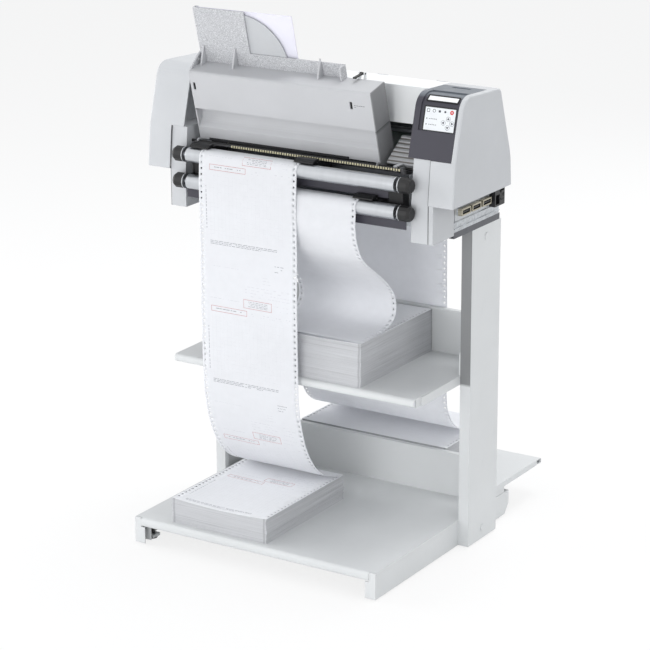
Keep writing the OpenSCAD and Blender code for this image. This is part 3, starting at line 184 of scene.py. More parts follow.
class Graph:
    """A material's nodes, added and linked in a few words."""

    def __init__(self, name):
        self.material = bpy.data.materials.new(name)
        self.material.use_nodes = True
        self.tree = self.material.node_tree
        self.tree.nodes.clear()
        self.out = self.add("ShaderNodeOutputMaterial")
        self.shader = self.add("ShaderNodeBsdfPrincipled")
        self.link(self.shader.outputs["BSDF"], self.out.inputs["Surface"])
        self.place = self.add("ShaderNodeTexCoord").outputs["Object"]

    def add(self, kind):
        return self.tree.nodes.new(kind)

    def link(self, a, b):
        self.tree.links.new(a, b)

    def stretched(self, scale):
        """The place, scaled along each axis."""
        mapping = self.add("ShaderNodeMapping")
        mapping.inputs["Scale"].default_value = scale
        self.link(self.place, mapping.inputs["Vector"])
        return mapping.outputs["Vector"]

    def noise(self, scale, detail=3.0, rough=0.55, vector=None):
        """Noise from 0 to 1 at the place, or at another vector."""
        node = self.add("ShaderNodeTexNoise")
        node.inputs["Scale"].default_value = scale
        node.inputs["Detail"].default_value = detail
        node.inputs["Roughness"].default_value = rough
        self.link(vector or self.place, node.inputs["Vector"])
        return node.outputs["Fac"]

    def ramp(self, value, stops):
        """Colour ramp with stops of (place, colour)."""
        node = self.add("ShaderNodeValToRGB")
        ramp = node.color_ramp
        while len(ramp.elements) < len(stops):
            ramp.elements.new(0.5)
        for element, (place, colour) in zip(ramp.elements, stops):
            element.position = place
            element.color = (*colour, 1.0)
        self.link(value, node.inputs["Fac"])
        return node.outputs["Color"]

    def spread(self, value, low, high, start=0.3, end=0.7):
        """Spreads the values from start to end over low to high, and holds them there."""
        node = self.add("ShaderNodeMapRange")
        node.inputs["From Min"].default_value = start
        node.inputs["From Max"].default_value = end
        node.inputs["To Min"].default_value = low
        node.inputs["To Max"].default_value = high
        self.link(value, node.inputs["Value"])
        return node.outputs["Result"]

    def maths(self, operation, a, b):
        """Sum, product or the like of two values, each a socket or a number."""
        node = self.add("ShaderNodeMath")
        node.operation = operation
        for socket, value in zip(node.inputs, (a, b)):
            if isinstance(value, (int, float)):
                socket.default_value = value
            else:
                self.link(value, socket)
        return node.outputs[0]

    def blend(self, kind, factor, a, b):
        """Blends the colour b over the colour a, each a socket or a linear colour."""
        node = self.add("ShaderNodeMix")
        node.data_type = "RGBA"
        node.blend_type = kind
        if isinstance(factor, (int, float)):
            node.inputs[0].default_value = factor
        else:
            self.link(factor, node.inputs[0])
        for index, value in ((6, a), (7, b)):
            if isinstance(value, (tuple, list)):
                node.inputs[index].default_value = (*value[:3], 1.0)
            else:
                self.link(value, node.inputs[index])
        return node.outputs[2]

    def axis(self, index):
        """Place along one axis, in metres."""
        node = self.add("ShaderNodeSeparateXYZ")
        self.link(self.place, node.inputs[0])
        return node.outputs[index]

    def past(self, value, edge, soft=0.0002):
        """1 where the value is past the edge, else 0."""
        return self.spread(value, 0.0, 1.0, edge - soft, edge + soft)

    def before(self, value, edge, soft=0.0002):
        """1 where the value is short of the edge, else 0."""
        return self.maths("SUBTRACT", 1.0, self.past(value, edge, soft))

    def inside(self, value, low, high):
        """1 where the value is from low to high, else 0."""
        return self.times(self.past(value, low), self.before(value, high))

    def times(self, first, *others):
        """Product of all the values."""
        for other in others:
            first = self.maths("MULTIPLY", first, other)
        return first

    def size(self, value):
        """The value without its sign."""
        return self.maths("ABSOLUTE", value, 0.0)

    def coat(self, colour, roughness, metallic=None, specular=None):
        """Fills the shader: sockets for colour and roughness, plain numbers for the rest."""
        self.link(colour, self.shader.inputs["Base Color"])
        self.link(roughness, self.shader.inputs["Roughness"])
        if metallic is not None:
            self.shader.inputs["Metallic"].default_value = metallic
        if specular is not None:
            self.shader.inputs["Specular IOR Level"].default_value = specular

    def relief(self, height, strength, distance, edge=0.0):
        """Bump from a height, over edges rounded by the radius edge."""
        bump = self.add("ShaderNodeBump")
        bump.inputs["Strength"].default_value = strength
        bump.inputs["Distance"].default_value = distance
        self.link(height, bump.inputs["Height"])
        if edge:
            bevel = self.add("ShaderNodeBevel")
            bevel.samples = 4
            bevel.inputs["Radius"].default_value = edge
            self.link(bevel.outputs["Normal"], bump.inputs["Normal"])
        self.link(bump.outputs["Normal"], self.shader.inputs["Normal"])


def tinted(rgb, share):
    return [min(1.0, c * share) for c in rgb]


TABLE_LEAN = math.radians(14.9)
TABLE_AT = (-199.0, PRINTER_Z + 134.0)  # hinge of the sheet table, as (y, z) in mm

# Places in metres at which a piece changes its tone
TABLE_END = 0.1805  # painted shade from just inside the table's right end
LIP_SHADE, LIP_EDGE = 0.0680, 0.0722  # up the table's face: the painted shadow under its lip
SEAM_IN, SEAM_OUT = 0.3120, 0.3142  # painted shade of the seam gap between a pillar and its housing
SEAM_BACK, SEAM_TOP = -0.165, (PRINTER_Z + 165.2) * MM
BEZEL_TOP = 0.9965
COLUMN_FRONT = (COL_Y - 61.8) * MM  # just behind a column's front face
COLUMN_SHADE_FROM = 0.364  # height from which a column's front has painted shade
RAMP_X = 0.186  # left end of the ramp on the print bed
RAMP_Z, RAMP_PITCH = (PRINTER_Z + 142) * MM, 0.00345
CAP_X = 0.262  # inner end of a roller's cap
TEETH_Y = -0.1813  # rear of the teeth on the tear bar
SOCKET_X, INLET_Y = 0.3263, 0.045  # face of the plate, and front of the mains inlet
SOCKET_ROW, SOCKET_PITCH = -0.085, 0.044  # front of the first data socket, and the pitch
SOCKET_MOUTH = (0.0028, 0.0332)  # from a data socket's front
SOCKET_HEIGHT = (0.7498, 0.7582)  # and from the floor


def table_painted_shade(g, colour):
    """Painted shade: a darker right end of the sheet table, and a dark painted shadow line where its
    channel meets the lip.
    """
    y0, z0 = (TABLE_AT[0] + COL_Y) * MM, TABLE_AT[1] * MM
    rearward = g.maths("MULTIPLY", g.maths("SUBTRACT", g.axis(1), y0), -math.sin(TABLE_LEAN))
    upward = g.maths("MULTIPLY", g.maths("SUBTRACT", g.axis(2), z0), math.cos(TABLE_LEAN))
    up = g.maths("ADD", rearward, upward)
    colour = g.blend("MULTIPLY", g.past(g.axis(0), TABLE_END), colour, (0.48, 0.48, 0.48))
    lip_shadow = g.times(g.past(up, LIP_SHADE, 0.004), g.before(up, LIP_EDGE))
    return g.blend("MULTIPLY", lip_shadow, colour, (0.42, 0.42, 0.43))


def seam_shade(g, colour):
    """Painted shade in the seam gaps between the pillars and the end housings, on their front faces."""
    wide = g.inside(g.size(g.axis(0)), SEAM_IN, SEAM_OUT)
    share = g.times(wide, g.before(g.axis(1), SEAM_BACK), g.before(g.axis(2), SEAM_TOP))
    return g.blend("MULTIPLY", share, colour, (0.3, 0.3, 0.3))


def lit_top(g, colour):
    """Paler blue grey on the bezel's flat top."""
    return g.blend("MIX", g.past(g.axis(2), BEZEL_TOP, 0.003), colour, linear((106, 112, 120)))


def plastic(name, rgb, rough=0.5, grain=900, depth=0.35, mottle=0.03, extra=None):
    """Moulded plastic: spark texture, slight cloudiness, soft marks, and extra(g, colour)."""
    g = Graph(name)
    base = linear(rgb)
    cloud = g.noise(7.0, 4.0)
    colour = g.ramp(cloud, [(0.3, tinted(base, 1 - mottle)), (0.7, tinted(base, 1 + mottle))])
    dust = g.spread(g.noise(2.2, 5.0, 0.7), 0.0, 0.10, 0.52, 0.78)
    colour = g.blend("MULTIPLY", dust, colour, (0.78, 0.77, 0.74))
    if extra:
        colour = extra(g, colour)
    marks = g.noise(38.0, 6.0, 0.65)
    g.coat(colour, g.spread(marks, rough - 0.05, rough + 0.08), specular=0.4)
    g.relief(g.noise(grain, 2.0), depth, 0.00012, 0.0008)
    return g.material


def painted(name, rgb, rough=0.38, front_shade=0.0):
    """Powder coated steel: orange peel, soft cloudiness, a few fine rubs on flat faces, and painted shade
    on the upper front of the columns if asked.
    """
    g = Graph(name)
    base = linear(rgb)
    cloud = g.noise(4.0, 4.0)
    colour = g.ramp(cloud, [(0.3, tinted(base, 0.965)), (0.7, tinted(base, 1.02))])
    # painted shade: the upper part of a column's front face darker, as under the printer
    if front_shade:
        front = g.before(g.axis(1), COLUMN_FRONT)
        upper = g.past(g.axis(2), COLUMN_SHADE_FROM, 0.003)
        colour = g.blend("MIX", g.times(front, upper, front_shade), colour, linear((96, 97, 99)))
    rubs = g.noise(1.0, 5.0, 0.7, g.stretched((6, 60, 20)))
    colour = g.blend("MULTIPLY", g.spread(rubs, 0.0, 0.10, 0.58, 0.74), colour, (0.72, 0.72, 0.71))
    g.coat(colour, g.spread(g.noise(24.0, 5.0), rough - 0.05, rough + 0.09), specular=0.5)
    g.relief(g.noise(420.0, 2.0, 0.4), 0.18, 0.0003, 0.0006)
    return g.material


def bed(name, rgb, dark):
    """Dark print bed, with a pale ribbed ramp at its right end."""
    g = Graph(name)
    grain = g.noise(500.0, 3.0)
    ribs = g.maths("PINGPONG", g.maths("SUBTRACT", g.axis(2), RAMP_Z), RAMP_PITCH)
    pale = g.blend("MIX", g.past(ribs, 0.0012, 0.0004), linear((120, 116, 112)), linear(rgb))
    base = linear(dark)
    bed_tone = g.ramp(grain, [(0.3, tinted(base, 0.85)), (0.7, tinted(base, 1.15))])
    on_ramp = g.past(g.axis(0), RAMP_X)
    g.coat(g.blend("MIX", on_ramp, bed_tone, pale), g.spread(grain, 0.42, 0.56))
    g.relief(g.times(on_ramp, ribs), 1.0, 0.6, 0.0004)
    return g.material


def zinc(name, rgb):
    """Zinc plated sheet with a faint spangle and rolling lines."""
    g = Graph(name)
    base = linear(rgb)
    cells = g.add("ShaderNodeTexVoronoi")
    cells.inputs["Scale"].default_value = 160.0
    g.link(g.place, cells.inputs["Vector"])
    flakes = g.add("ShaderNodeSeparateColor")
    g.link(cells.outputs["Color"], flakes.inputs[0])
    colour = g.ramp(flakes.outputs[0], [(0.0, tinted(base, 0.84)), (1.0, tinted(base, 1.08))])
    lines = g.noise(1.0, 4.0, 0.6, g.stretched((14, 700, 700)))
    g.coat(colour, g.spread(lines, 0.29, 0.46), metallic=0.92)
    g.relief(lines, 0.10, 0.0001, 0.0004)
    return g.material


def turned(name, rgb, rough, metallic):
    """Ground or turned metal: fine rings round an X axis, long soft stains."""
    g = Graph(name)
    base = linear(rgb)
    rings = g.noise(1.0, 3.0, 0.6, g.stretched((900, 6, 6)))
    stains = g.noise(9.0, 4.0)
    colour = g.ramp(rings, [(0.25, tinted(base, 0.90)), (0.75, tinted(base, 1.04))])
    colour = g.blend("MULTIPLY", g.spread(stains, 0.0, 0.25, 0.5, 0.8), colour, (0.84, 0.83, 0.80))
    g.coat(colour, g.spread(rings, rough - 0.05, rough + 0.08), metallic)
    g.relief(rings, 0.08, 0.00008, 0.0004)
    return g.material


def capped(name, rgb, cap):
    """Satin tube with a black cap on each end."""
    g = Graph(name)
    base = linear(rgb)
    on_cap = g.past(g.size(g.axis(0)), CAP_X)
    rings = g.noise(1.0, 2.0, 0.5, g.stretched((90, 5, 5)))
    colour = g.ramp(rings, [(0.3, tinted(base, 0.97)), (0.7, tinted(base, 1.02))])
    rough = g.spread(g.maths("ADD", rings, on_cap), 0.28, 0.46, 0.3, 1.2)
    g.coat(g.blend("MIX", on_cap, colour, linear(cap)), rough)
    g.link(g.spread(on_cap, 0.9, 0.0, 0.0, 1.0), g.shader.inputs["Metallic"])
    g.relief(rings, 0.05, 0.00006, 0.0006)
    return g.material


def toothed(name, rgb, teeth):
    """Dark steel bar with pale teeth along its front."""
    g = Graph(name)
    base = linear(rgb)
    rolled = g.noise(1.0, 3.0, 0.6, g.stretched((12, 500, 500)))
    colour = g.ramp(rolled, [(0.3, tinted(base, 0.85)), (0.7, tinted(base, 1.15))])
    colour = g.blend("MIX", g.past(g.axis(1), TEETH_Y), linear(teeth), colour)
    g.coat(colour, g.spread(rolled, 0.34, 0.5), metallic=0.4)
    g.relief(rolled, 0.1, 0.0001, 0.0003)
    return g.material


def sockets(name):
    """Zinc plate with metal data sockets that are dark inside, and a black mains inlet."""
    g = Graph(name)
    x, y, z = (g.axis(k) for k in range(3))
    scratches = g.noise(1.0, 4.0, 0.6, g.stretched((20, 240, 900)))
    plate = g.ramp(scratches, [(0.3, linear((176, 180, 184))), (0.7, linear((206, 209, 212)))])
    shell = g.ramp(scratches, [(0.3, linear((158, 152, 134))), (0.7, linear((202, 197, 180)))])
    out = g.past(x, SOCKET_X)
    along_row = g.maths("MODULO", g.maths("SUBTRACT", y, SOCKET_ROW), SOCKET_PITCH)
    mouth = g.times(g.inside(along_row, *SOCKET_MOUTH), g.inside(z, *SOCKET_HEIGHT))
    dark = g.times(out, g.maths("MAXIMUM", g.past(y, INLET_Y), mouth))
    colour = g.blend("MIX", dark, g.blend("MIX", out, plate, shell), linear((26, 26, 29)))
    g.coat(colour, g.spread(scratches, 0.34, 0.5))
    g.link(g.spread(dark, 0.8, 0.0, 0.0, 1.0), g.shader.inputs["Metallic"])
    g.relief(scratches, 0.12, 0.0001, 0.0004)
    return g.material


def speckled(name, rgb, dark, light):
    """Coarse grained plastic: pale and dark grains through the grey."""
    g = Graph(name)
    base = linear(rgb)
    grains = g.noise(620.0, 1.0, 0.5)
    broad = g.noise(124.0, 2.0)
    stops = [(0.36, linear(dark)), (0.47, tinted(base, 0.97)), (0.55, base), (0.66, linear(light))]
    colour = g.blend("MULTIPLY", g.spread(broad, 0.0, 0.28), g.ramp(grains, stops), (0.88, 0.88, 0.88))
    g.coat(colour, g.spread(grains, 0.5, 0.72))
    g.relief(grains, 0.55, 0.0004, 0.0005)
    return g.material


def paper(name, rgb, through):
    """Uncoated paper: fibres, faint cloudiness, matt.  A share of the light goes through it."""
    g = Graph(name)
    base = linear(rgb)
    cloud = g.noise(60.0, 5.0, 0.6)
    colour = g.ramp(cloud, [(0.3, tinted(base, 0.98)), (0.7, tinted(base, 1.01))])
    threads = g.noise(1800.0, 2.0)
    g.coat(colour, g.spread(threads, 0.78, 0.9), specular=0.2)
    g.relief(threads, 0.12, 0.00006)
    if through:
        passed = g.add("ShaderNodeBsdfTranslucent")
        g.link(colour, passed.inputs["Color"])
        mix = g.add("ShaderNodeMixShader")
        mix.inputs[0].default_value = through
        g.link(g.shader.outputs["BSDF"], mix.inputs[1])
        g.link(passed.outputs["BSDF"], mix.inputs[2])
        g.link(mix.outputs[0], g.out.inputs["Surface"])
    return g.material


def leaves(name, rgb, x0, width):
    """Edges of a pile of folded sheets: fine uneven lines, and painted shade over the rows of feed holes.
    """
    g = Graph(name)
    base = linear(rgb)
    leaf = 0.0011
    fine = g.noise(1.0, 3.0, 0.7, g.stretched((5, 5, 1 / leaf)))
    coarse = g.noise(1.0, 2.0, 0.5, g.stretched((3, 3, 0.2 / leaf)))
    both = g.times(g.spread(fine, 0.55, 1.0, 0.3, 0.62), g.spread(coarse, 0.82, 1.0))
    colour = g.ramp(both, [(0.4, tinted(base, 0.692)), (0.75, tinted(base, 0.93)), (1.0, base)])
    # painted shade over the rows of feed holes, in the wells under the top page's holes and on the fold
    # faces
    rows = []
    for row in (x0 + PITCH / 2, x0 + width - PITCH / 2):
        away = g.size(g.maths("SUBTRACT", g.axis(0), row * MM))
        rows.append(g.spread(away, 0.5, 0.0, 0.001, 0.0032))
    share = g.times(g.maths("ADD", *rows), g.spread(fine, 0.6, 1.0))
    g.link(g.blend("MULTIPLY", share, colour, (0.35, 0.35, 0.37)), g.shader.inputs["Base Color"])
    g.shader.inputs["Roughness"].default_value = 0.85
    g.shader.inputs["Specular IOR Level"].default_value = 0.15
    g.relief(both, 0.5, 0.0004)
    return g.material


def ink(name, rgb):
    """Printed colour, slightly uneven."""
    g = Graph(name)
    base = linear(rgb)
    colour = g.ramp(g.noise(700.0, 3.0), [(0.3, tinted(base, 0.9)), (0.7, tinted(base, 1.12))])
    g.coat(colour, g.spread(g.noise(900.0, 2.0), 0.52, 0.68))
    return g.material


def rubber(name, rgb):
    """Rubber belt with fine teeth across it."""
    g = Graph(name)
    base = linear(rgb)
    teeth = g.noise(1.0, 1.0, 0.4, g.stretched((700, 20, 20)))
    colour = g.ramp(teeth, [(0.3, tinted(base, 0.7)), (0.7, tinted(base, 1.3))])
    g.coat(colour, g.spread(teeth, 0.6, 0.8))
    g.relief(teeth, 0.4, 0.0003)
    return g.material


def board(name, rgb):
    """Printed circuit board: solder mask over tracks."""
    g = Graph(name)
    base = linear(rgb)
    tracks = g.add("ShaderNodeTexBrick")
    tracks.inputs["Scale"].default_value = 130.0
    tracks.inputs["Mortar Size"].default_value = 0.03
    tracks.inputs["Color1"].default_value = (*base, 1)
    tracks.inputs["Color2"].default_value = (*tinted(base, 0.8), 1)
    tracks.inputs["Mortar"].default_value = (*tinted(base, 1.6), 1)
    g.link(g.place, tracks.inputs["Vector"])
    g.coat(tracks.outputs["Color"], g.spread(g.noise(50.0), 0.3, 0.45))
    g.relief(tracks.outputs["Fac"], 0.2, 0.0002, 0.0003)
    return g.material


PITCH = 12.7  # of the feed holes, mm
OUT_X, IN_X, WIDE_X = -215.0, -75.0, -186.0  # left edges of the three papers, mm
NARROW, WIDE = 241.0, 378.0  # widths of the papers, mm

STAND = painted("stand_paint", (216, 218, 219))
POST = painted("post_paint_and_shade", (216, 218, 219), front_shade=0.8)
BAR = painted("bar_paint", (84, 86, 92), 0.42)
COVER = plastic("cover_plastic", (197, 199, 202), 0.48, extra=seam_shade)
PALE = plastic("top_plastic", (240, 242, 243), 0.46)
TABLE = plastic("table_plastic", (189, 190, 193), 0.46, extra=table_painted_shade)
SECTOR = plastic("sector_plastic", (190, 192, 195), 0.5)
EXTENSION = plastic("extension_plastic", (226, 225, 236), 0.4, 600, 0.15)
SUPPORT = speckled("support_plastic", (190, 191, 194), (160, 161, 165), (214, 215, 218))
SLATE = plastic("slate_plastic", (62, 61, 70), 0.42, 1100, 0.3, 0.05)
BEZEL = plastic("bezel_plastic", (62, 61, 70), 0.42, 1100, 0.3, 0.05, extra=lit_top)
BLACK = plastic("black_plastic", (22, 22, 24), 0.42, 1000, 0.4, 0.10)
GASKET = plastic("gasket_foam", (34, 34, 37), 0.7, 500, 0.8, 0.12)
DARK_STEEL = turned("dark_steel", (40, 40, 44), 0.34, 0.6)
TEAR = toothed("tear_steel", (66, 66, 68), (196, 190, 160))
ZINC = zinc("zinc_steel", (190, 194, 198))
ROD = turned("rod_steel", (104, 106, 110), 0.32, 0.9)
ROLLER = capped("roller_aluminium", (196, 199, 203), (15, 15, 17))
BED = bed("bed_plastic", (204, 205, 208), (44, 44, 47))
PIN = plastic("pin_plastic", (226, 221, 206), 0.4)
HEAD = plastic("head_cast", (140, 143, 148), 0.4, 700, 0.6)
FILM = plastic("key_film", (232, 235, 238), 0.3, 1500, 0.1, 0.015)
WINDOW = plastic("window_plastic", (244, 246, 248), 0.12, 1800, 0.04, 0.01)
BELT = rubber("belt_rubber", (22, 22, 22))
BOARD = board("board_laminate", (40, 96, 62))
SOCKET = sockets("connector_metal")
PAPER = paper("paper_sheet", (242, 243, 246), 0.3)
PAGE = paper("paper_page", (242, 243, 246), 0.0)
OUT_LEAVES = leaves("output_leaves", (206, 207, 210), OUT_X, NARROW)
IN_LEAVES = leaves("input_leaves", (206, 207, 210), IN_X, NARROW)
REAR_LEAVES = leaves("rear_leaves", (206, 207, 210), WIDE_X, WIDE)
GREY_INK = ink("grey_ink", (156, 158, 164))
FAINT_INK = ink("faint_ink", (226, 227, 231))
RED_INK = ink("red_ink", (180, 98, 100))
ICON_INK = ink("icon_ink", (74, 76, 84))
STOP_INK = ink("stop_ink", (206, 52, 52))

LINES = ("upper_left", "upper_right", "lower_left", "lower_right")
WORN_BY = (
    (POST, "columns"),
    (STAND, "foot_beams bottom_tray rear_shelf mid_shelf shelf_brackets stand_screws"),
    (BAR, "support_bars"),
    (COVER, "front_pillars housing_left housing_right rear_cover"),
    (PALE, "top_cover"),
    (BLACK, "foot_glides cover_latch table_hinge_rod roller_brackets carriage ribbon_cassette"),
    (BLACK, "power_switch " + " ".join("tractor_%s door_%s" % (line, line) for line in LINES)),
    (TABLE, "sheet_table"),
    (SUPPORT, "sheet_support"),
    (SECTOR, "support_sector"),
    (EXTENSION, "support_extension"),
    (BEZEL, "control_bezel"),
    (WINDOW, "display_window"),
    (FILM, "keypad"),
    (ZINC, "base_pan side_frames power_supply"),
    (ROLLER, "upper_roller lower_roller"),
    (TEAR, "tear_bar"),
    (SLATE, "guide_strips"),
    (ROD, "drive_shaft_upper drive_shaft_lower guide_rods"),
    (BED, "platen_bed"),
    (HEAD, "print_head"),
    (BELT, "carriage_belt"),
    (PIN, "drive_pulley idler_pulley " + " ".join("sprocket_" + line for line in LINES)),
    (DARK_STEEL, "carriage_motor"),
    (BOARD, "main_board"),
    (SOCKET, "connector_block"),
    (PAPER, "output_paper input_paper rear_paper"),
)
LOOKS = {name: look for look, names in WORN_BY for name in names.split()}
for name, node in nodes.items():
    node.data.materials.clear()
    node.data.materials.append(LOOKS[name])

# ---------------------------------------------------------------- fanfold paper

FORM = 24 * PITCH  # length of a form
HOLE = 2.0  # radius of a feed hole
CUTS = 4  # mesh steps in one pitch
STEP = PITCH / CUTS
SHEET = 0.16  # thickness of a sheet as shown
INK_LOW, INK_HIGH = SHEET / 2 - 0.03, SHEET / 2 + 0.035
ROLLER_Y, RIDE = -245.0, 16.2  # rollers' axes, and the paper's radius round them
UP_Z, LOW_Z = PRINTER_Z + 114.0, PRINTER_Z + 57.0
MOUTH_Y = -231.0  # where the sheets pass into the tractors
FOLD_1 = UP_Z - 191.0  # heights of the output sheet's folds
FOLD_2 = FOLD_1 - FORM * 0.987
TRAY_Z, MID_Z, REAR_Z = 60.0, 384.0, 81.0  # what the piles lie on
OUT_TOP, IN_TOP, REAR_TOP = 115.0, 480.0, 159.0  # tops of the piles
PILE_DROP = 1.4  # room for the strip's end on the two fed piles
LEAF = 1.9  # height of one drawn leaf of a pile
WELL = 2.6  # depth under the top page's holes
LEAF_EDGE = ((0.04, 0.0), (0.80, 0.0), (0.92, 0.45))  # a leaf's edges and groove: share up, and set-back
LEAF_SHIFT = (0.35, 0.35, 0.5, 0.5)  # most that a leaf is shifted at the left, right, front and rear
SET_BACK = (0.6, 0.6, 0.8, 0.8)  # how far the leaves stand in there
WAVES = ((0.9, 9), (0.6, 23))  # size and turns of the waves in a pile's sides
RIM_X, RIM_Y, RIM_DROP = 2.4, 2.6, 0.3  # from a pile's sides in to its well, and down to the rim
PILE_X, PILE_Y = 16, 18  # faces across and along a pile
OUT_SPAN = (-388.0, -388.0 + FORM)  # front and rear of each pile
IN_SPAN = (-240.0, 55.0)
REAR_SPAN = (78.0, 294.0)
PAGE_EDGE = 1.5  # set-back of a top page at its folds


def over_roller(z):
    """Centre line over the front of a roller, from its top to its front."""
    return [(ROLLER_Y + RIDE * math.cos(math.radians(a)), z + RIDE * math.sin(math.radians(a)))
            for a in range(90, 181, 6)]


def bezier(a, b, c, d, steps=24):
    """Points of the cubic curve from a to d."""
    out = []
    for k in range(steps + 1):
        t = k / steps
        s = 1 - t
        out.append(tuple(s**3 * a[i] + 3 * s * s * t * b[i] + 3 * s * t * t * c[i] + t**3 * d[i]
                         for i in (0, 1)))
    return out


def spline(points, steps=10):
    """Points of the smooth curve through all the given ones."""
    out = []
    for i in range(len(points) - 1):
        a, b = points[max(i - 1, 0)], points[i]
        c, d = points[i + 1], points[min(i + 2, len(points) - 1)]
        for k in range(steps):
            t = k / steps
            out.append(tuple(
                0.5 * (2 * b[j] + (c[j] - a[j]) * t + (2 * a[j] - 5 * b[j] + 4 * c[j] - d[j]) * t * t
                       + (3 * b[j] - a[j] - 3 * c[j] + d[j]) * t**3) for j in (0, 1)))
    return out + [points[-1]]


class Path:
    """A sheet's centre line in Y and Z, walked by its length in millimetres."""

    def __init__(self, points, flip=1):
        self.points = [points[0]]
        for p in points[1:]:
            if math.dist(p, self.points[-1]) > 0.05:
                self.points.append(p)
        self.flip = flip
        self.marks = [0.0]
        for a, b in zip(self.points, self.points[1:]):
            self.marks.append(self.marks[-1] + math.dist(a, b))
        self.length = self.marks[-1]

    def length_at(self, z):
        """Length where the path last passes the height z."""
        found = 0.0
        for i, (a, b) in enumerate(zip(self.points, self.points[1:])):
            if (a[1] - z) * (b[1] - z) <= 0 and a[1] != b[1]:
                found = self.marks[i] + (a[1] - z) / (a[1] - b[1]) * (self.marks[i + 1] - self.marks[i])
        return found

    def plain(self, s):
        """Place at length s."""
        s = min(max(s, 0.0), self.length)
        high = min(bisect.bisect_right(self.marks, s), len(self.marks) - 1)
        low = high - 1
        t = (s - self.marks[low]) / (self.marks[high] - self.marks[low])
        a, b = self.points[low], self.points[high]
        return a[0] + (b[0] - a[0]) * t, a[1] + (b[1] - a[1]) * t

    def at(self, s, h=0.0):
        """Place at length s, moved by h to the printed side."""
        y, z = self.plain(s)
        a, b = self.plain(s - 1.5), self.plain(s + 1.5)
        d = math.dist(a, b)
        ny, nz = (b[1] - a[1]) / d * self.flip, -(b[0] - a[0]) / d * self.flip
        return y + ny * h, z + nz * h


def to_world(x, y, z):
    """World place of one in mm, with Y from the middle of the columns."""
    return (x * MM, (y + COL_Y) * MM, z * MM)


def new_piece(name, verts, faces, material, body=ROOT, smooth=False):
    """Makes a piece that rides on a body."""
    mesh = bpy.data.meshes.new(name)
    mesh.from_pydata(verts, [], faces)
    mesh.validate()
    mesh.materials.append(material)
    if smooth:
        mesh.polygons.foreach_set("use_smooth", [True] * len(mesh.polygons))
    piece = bpy.data.objects.new(name, mesh)
    bpy.context.scene.collection.objects.link(piece)
    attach(piece, body)
    return piece


def bridge(faces, a, b, n):
    """Faces between two rings of n points, which start at a and at b."""
    for k in range(n):
        m = (k + 1) % n
        faces.append((a + k, a + m, b + m, b + k))


def sheet_piece(name, width, start, end, phase, place, columns=14, material=PAPER):
    """A sheet with feed holes along both edges. place(u, v) gives a point of its middle surface."""
    index, verts, faces = {}, [], []

    def point(u, v):
        key = (round(u, 2), round(v, 2))
        if key not in index:
            index[key] = len(verts)
            verts.append(place(u, v))
        return index[key]

    def patches(along_u, along_v):
        for a, b in zip(along_v, along_v[1:]):
            for c, d in zip(along_u, along_u[1:]):
                faces.append((point(c, a), point(d, a), point(d, b), point(c, b)))

    # between the two hole bands
    first = math.ceil((start - phase) / PITCH - 1e-6)
    last = math.floor((end - phase) / PITCH + 1e-6)
    rows = [phase + first * PITCH + STEP * k for k in range((last - first) * CUTS + 1)]
    grid = [PITCH + (width - 2 * PITCH) * k / columns for k in range(columns + 1)]
    patches(grid, rows)

    # the two ends, shorter than a whole pitch, over the full width
    left_band = [STEP * k for k in range(CUTS + 1)]
    right_band = [width - PITCH + u for u in left_band]
    across = left_band + grid[1:-1] + right_band
    for a, b in ((start, rows[0]), (rows[-1], end)):
        if b - a > 0.3:
            parts = max(1, round((b - a) / STEP))
            patches(across, [a + (b - a) * k / parts for k in range(parts + 1)])

    # cells with a round hole
    rim = [(k, 0) for k in range(CUTS)] + [(CUTS, k) for k in range(CUTS)]
    rim += [(CUTS - i, CUTS - j) for i, j in rim]
    for cell in range(first, last):
        v0 = phase + cell * PITCH
        for u0 in (0.0, width - PITCH):
            outer, inner = [], []
            for i, j in rim:
                du, dv = i * STEP - PITCH / 2, j * STEP - PITCH / 2
                r = math.hypot(du, dv)
                outer.append(point(u0 + i * STEP, v0 + j * STEP))
                inner.append(point(u0 + PITCH / 2 + du / r * HOLE, v0 + PITCH / 2 + dv / r * HOLE))
            for k in range(len(rim)):
                n = (k + 1) % len(rim)
                faces.append((outer[k], outer[n], inner[n], inner[k]))
    piece = new_piece(name, verts, faces, material, smooth=True)
    thick = piece.modifiers.new("thickness", "SOLIDIFY")
    thick.thickness = SHEET * MM
    thick.offset = 0.0
    return piece


def printed(name, marks, place, material):
    """Thin printed marks on a sheet: each is (u0, u1, v0, v1). place(u, v, h) follows the sheet."""
    verts, faces = [], []
    for u0, u1, v0, v1 in marks:
        parts = max(1, math.ceil((v1 - v0) / 5.0))
        base = len(verts)
        for k in range(parts + 1):
            v = v0 + (v1 - v0) * k / parts
            for u, h in ((u0, INK_LOW), (u1, INK_LOW), (u1, INK_HIGH), (u0, INK_HIGH)):
                verts.append(place(u, v, h))
        last = base + 4 * parts
        for ring in range(base, last, 4):
            bridge(faces, ring, ring + 4, 4)
        faces.append((base + 3, base + 2, base + 1, base))
        faces.append((last, last + 1, last + 2, last + 3))
    return new_piece(name, verts, faces, material)


def words(draw, y, x0, x1, height=1.3, gap_share=0.22, shortest=2.5, longest=9.0):
    """One line of print as a row of bars of uneven length."""
    out, x = [], x0
    while x < x1 - 1.5:
        w = min(draw.uniform(shortest, longest), x1 - x)
        if draw.random() > gap_share * 0.6:
            out.append((x, x + w, y, y + height))
        x += w + draw.uniform(1.0, 2.2 + 4 * gap_share)
    return out


def outline(x0, x1, y0, y1):
    """The four lines of a box."""
    t = 0.7
    return [(x0, x1, y0, y0 + t), (x0, x1, y1 - t, y1),
            (x0, x0 + t, y0 + t, y1 - t), (x1 - t, x1, y0 + t, y1 - t)]


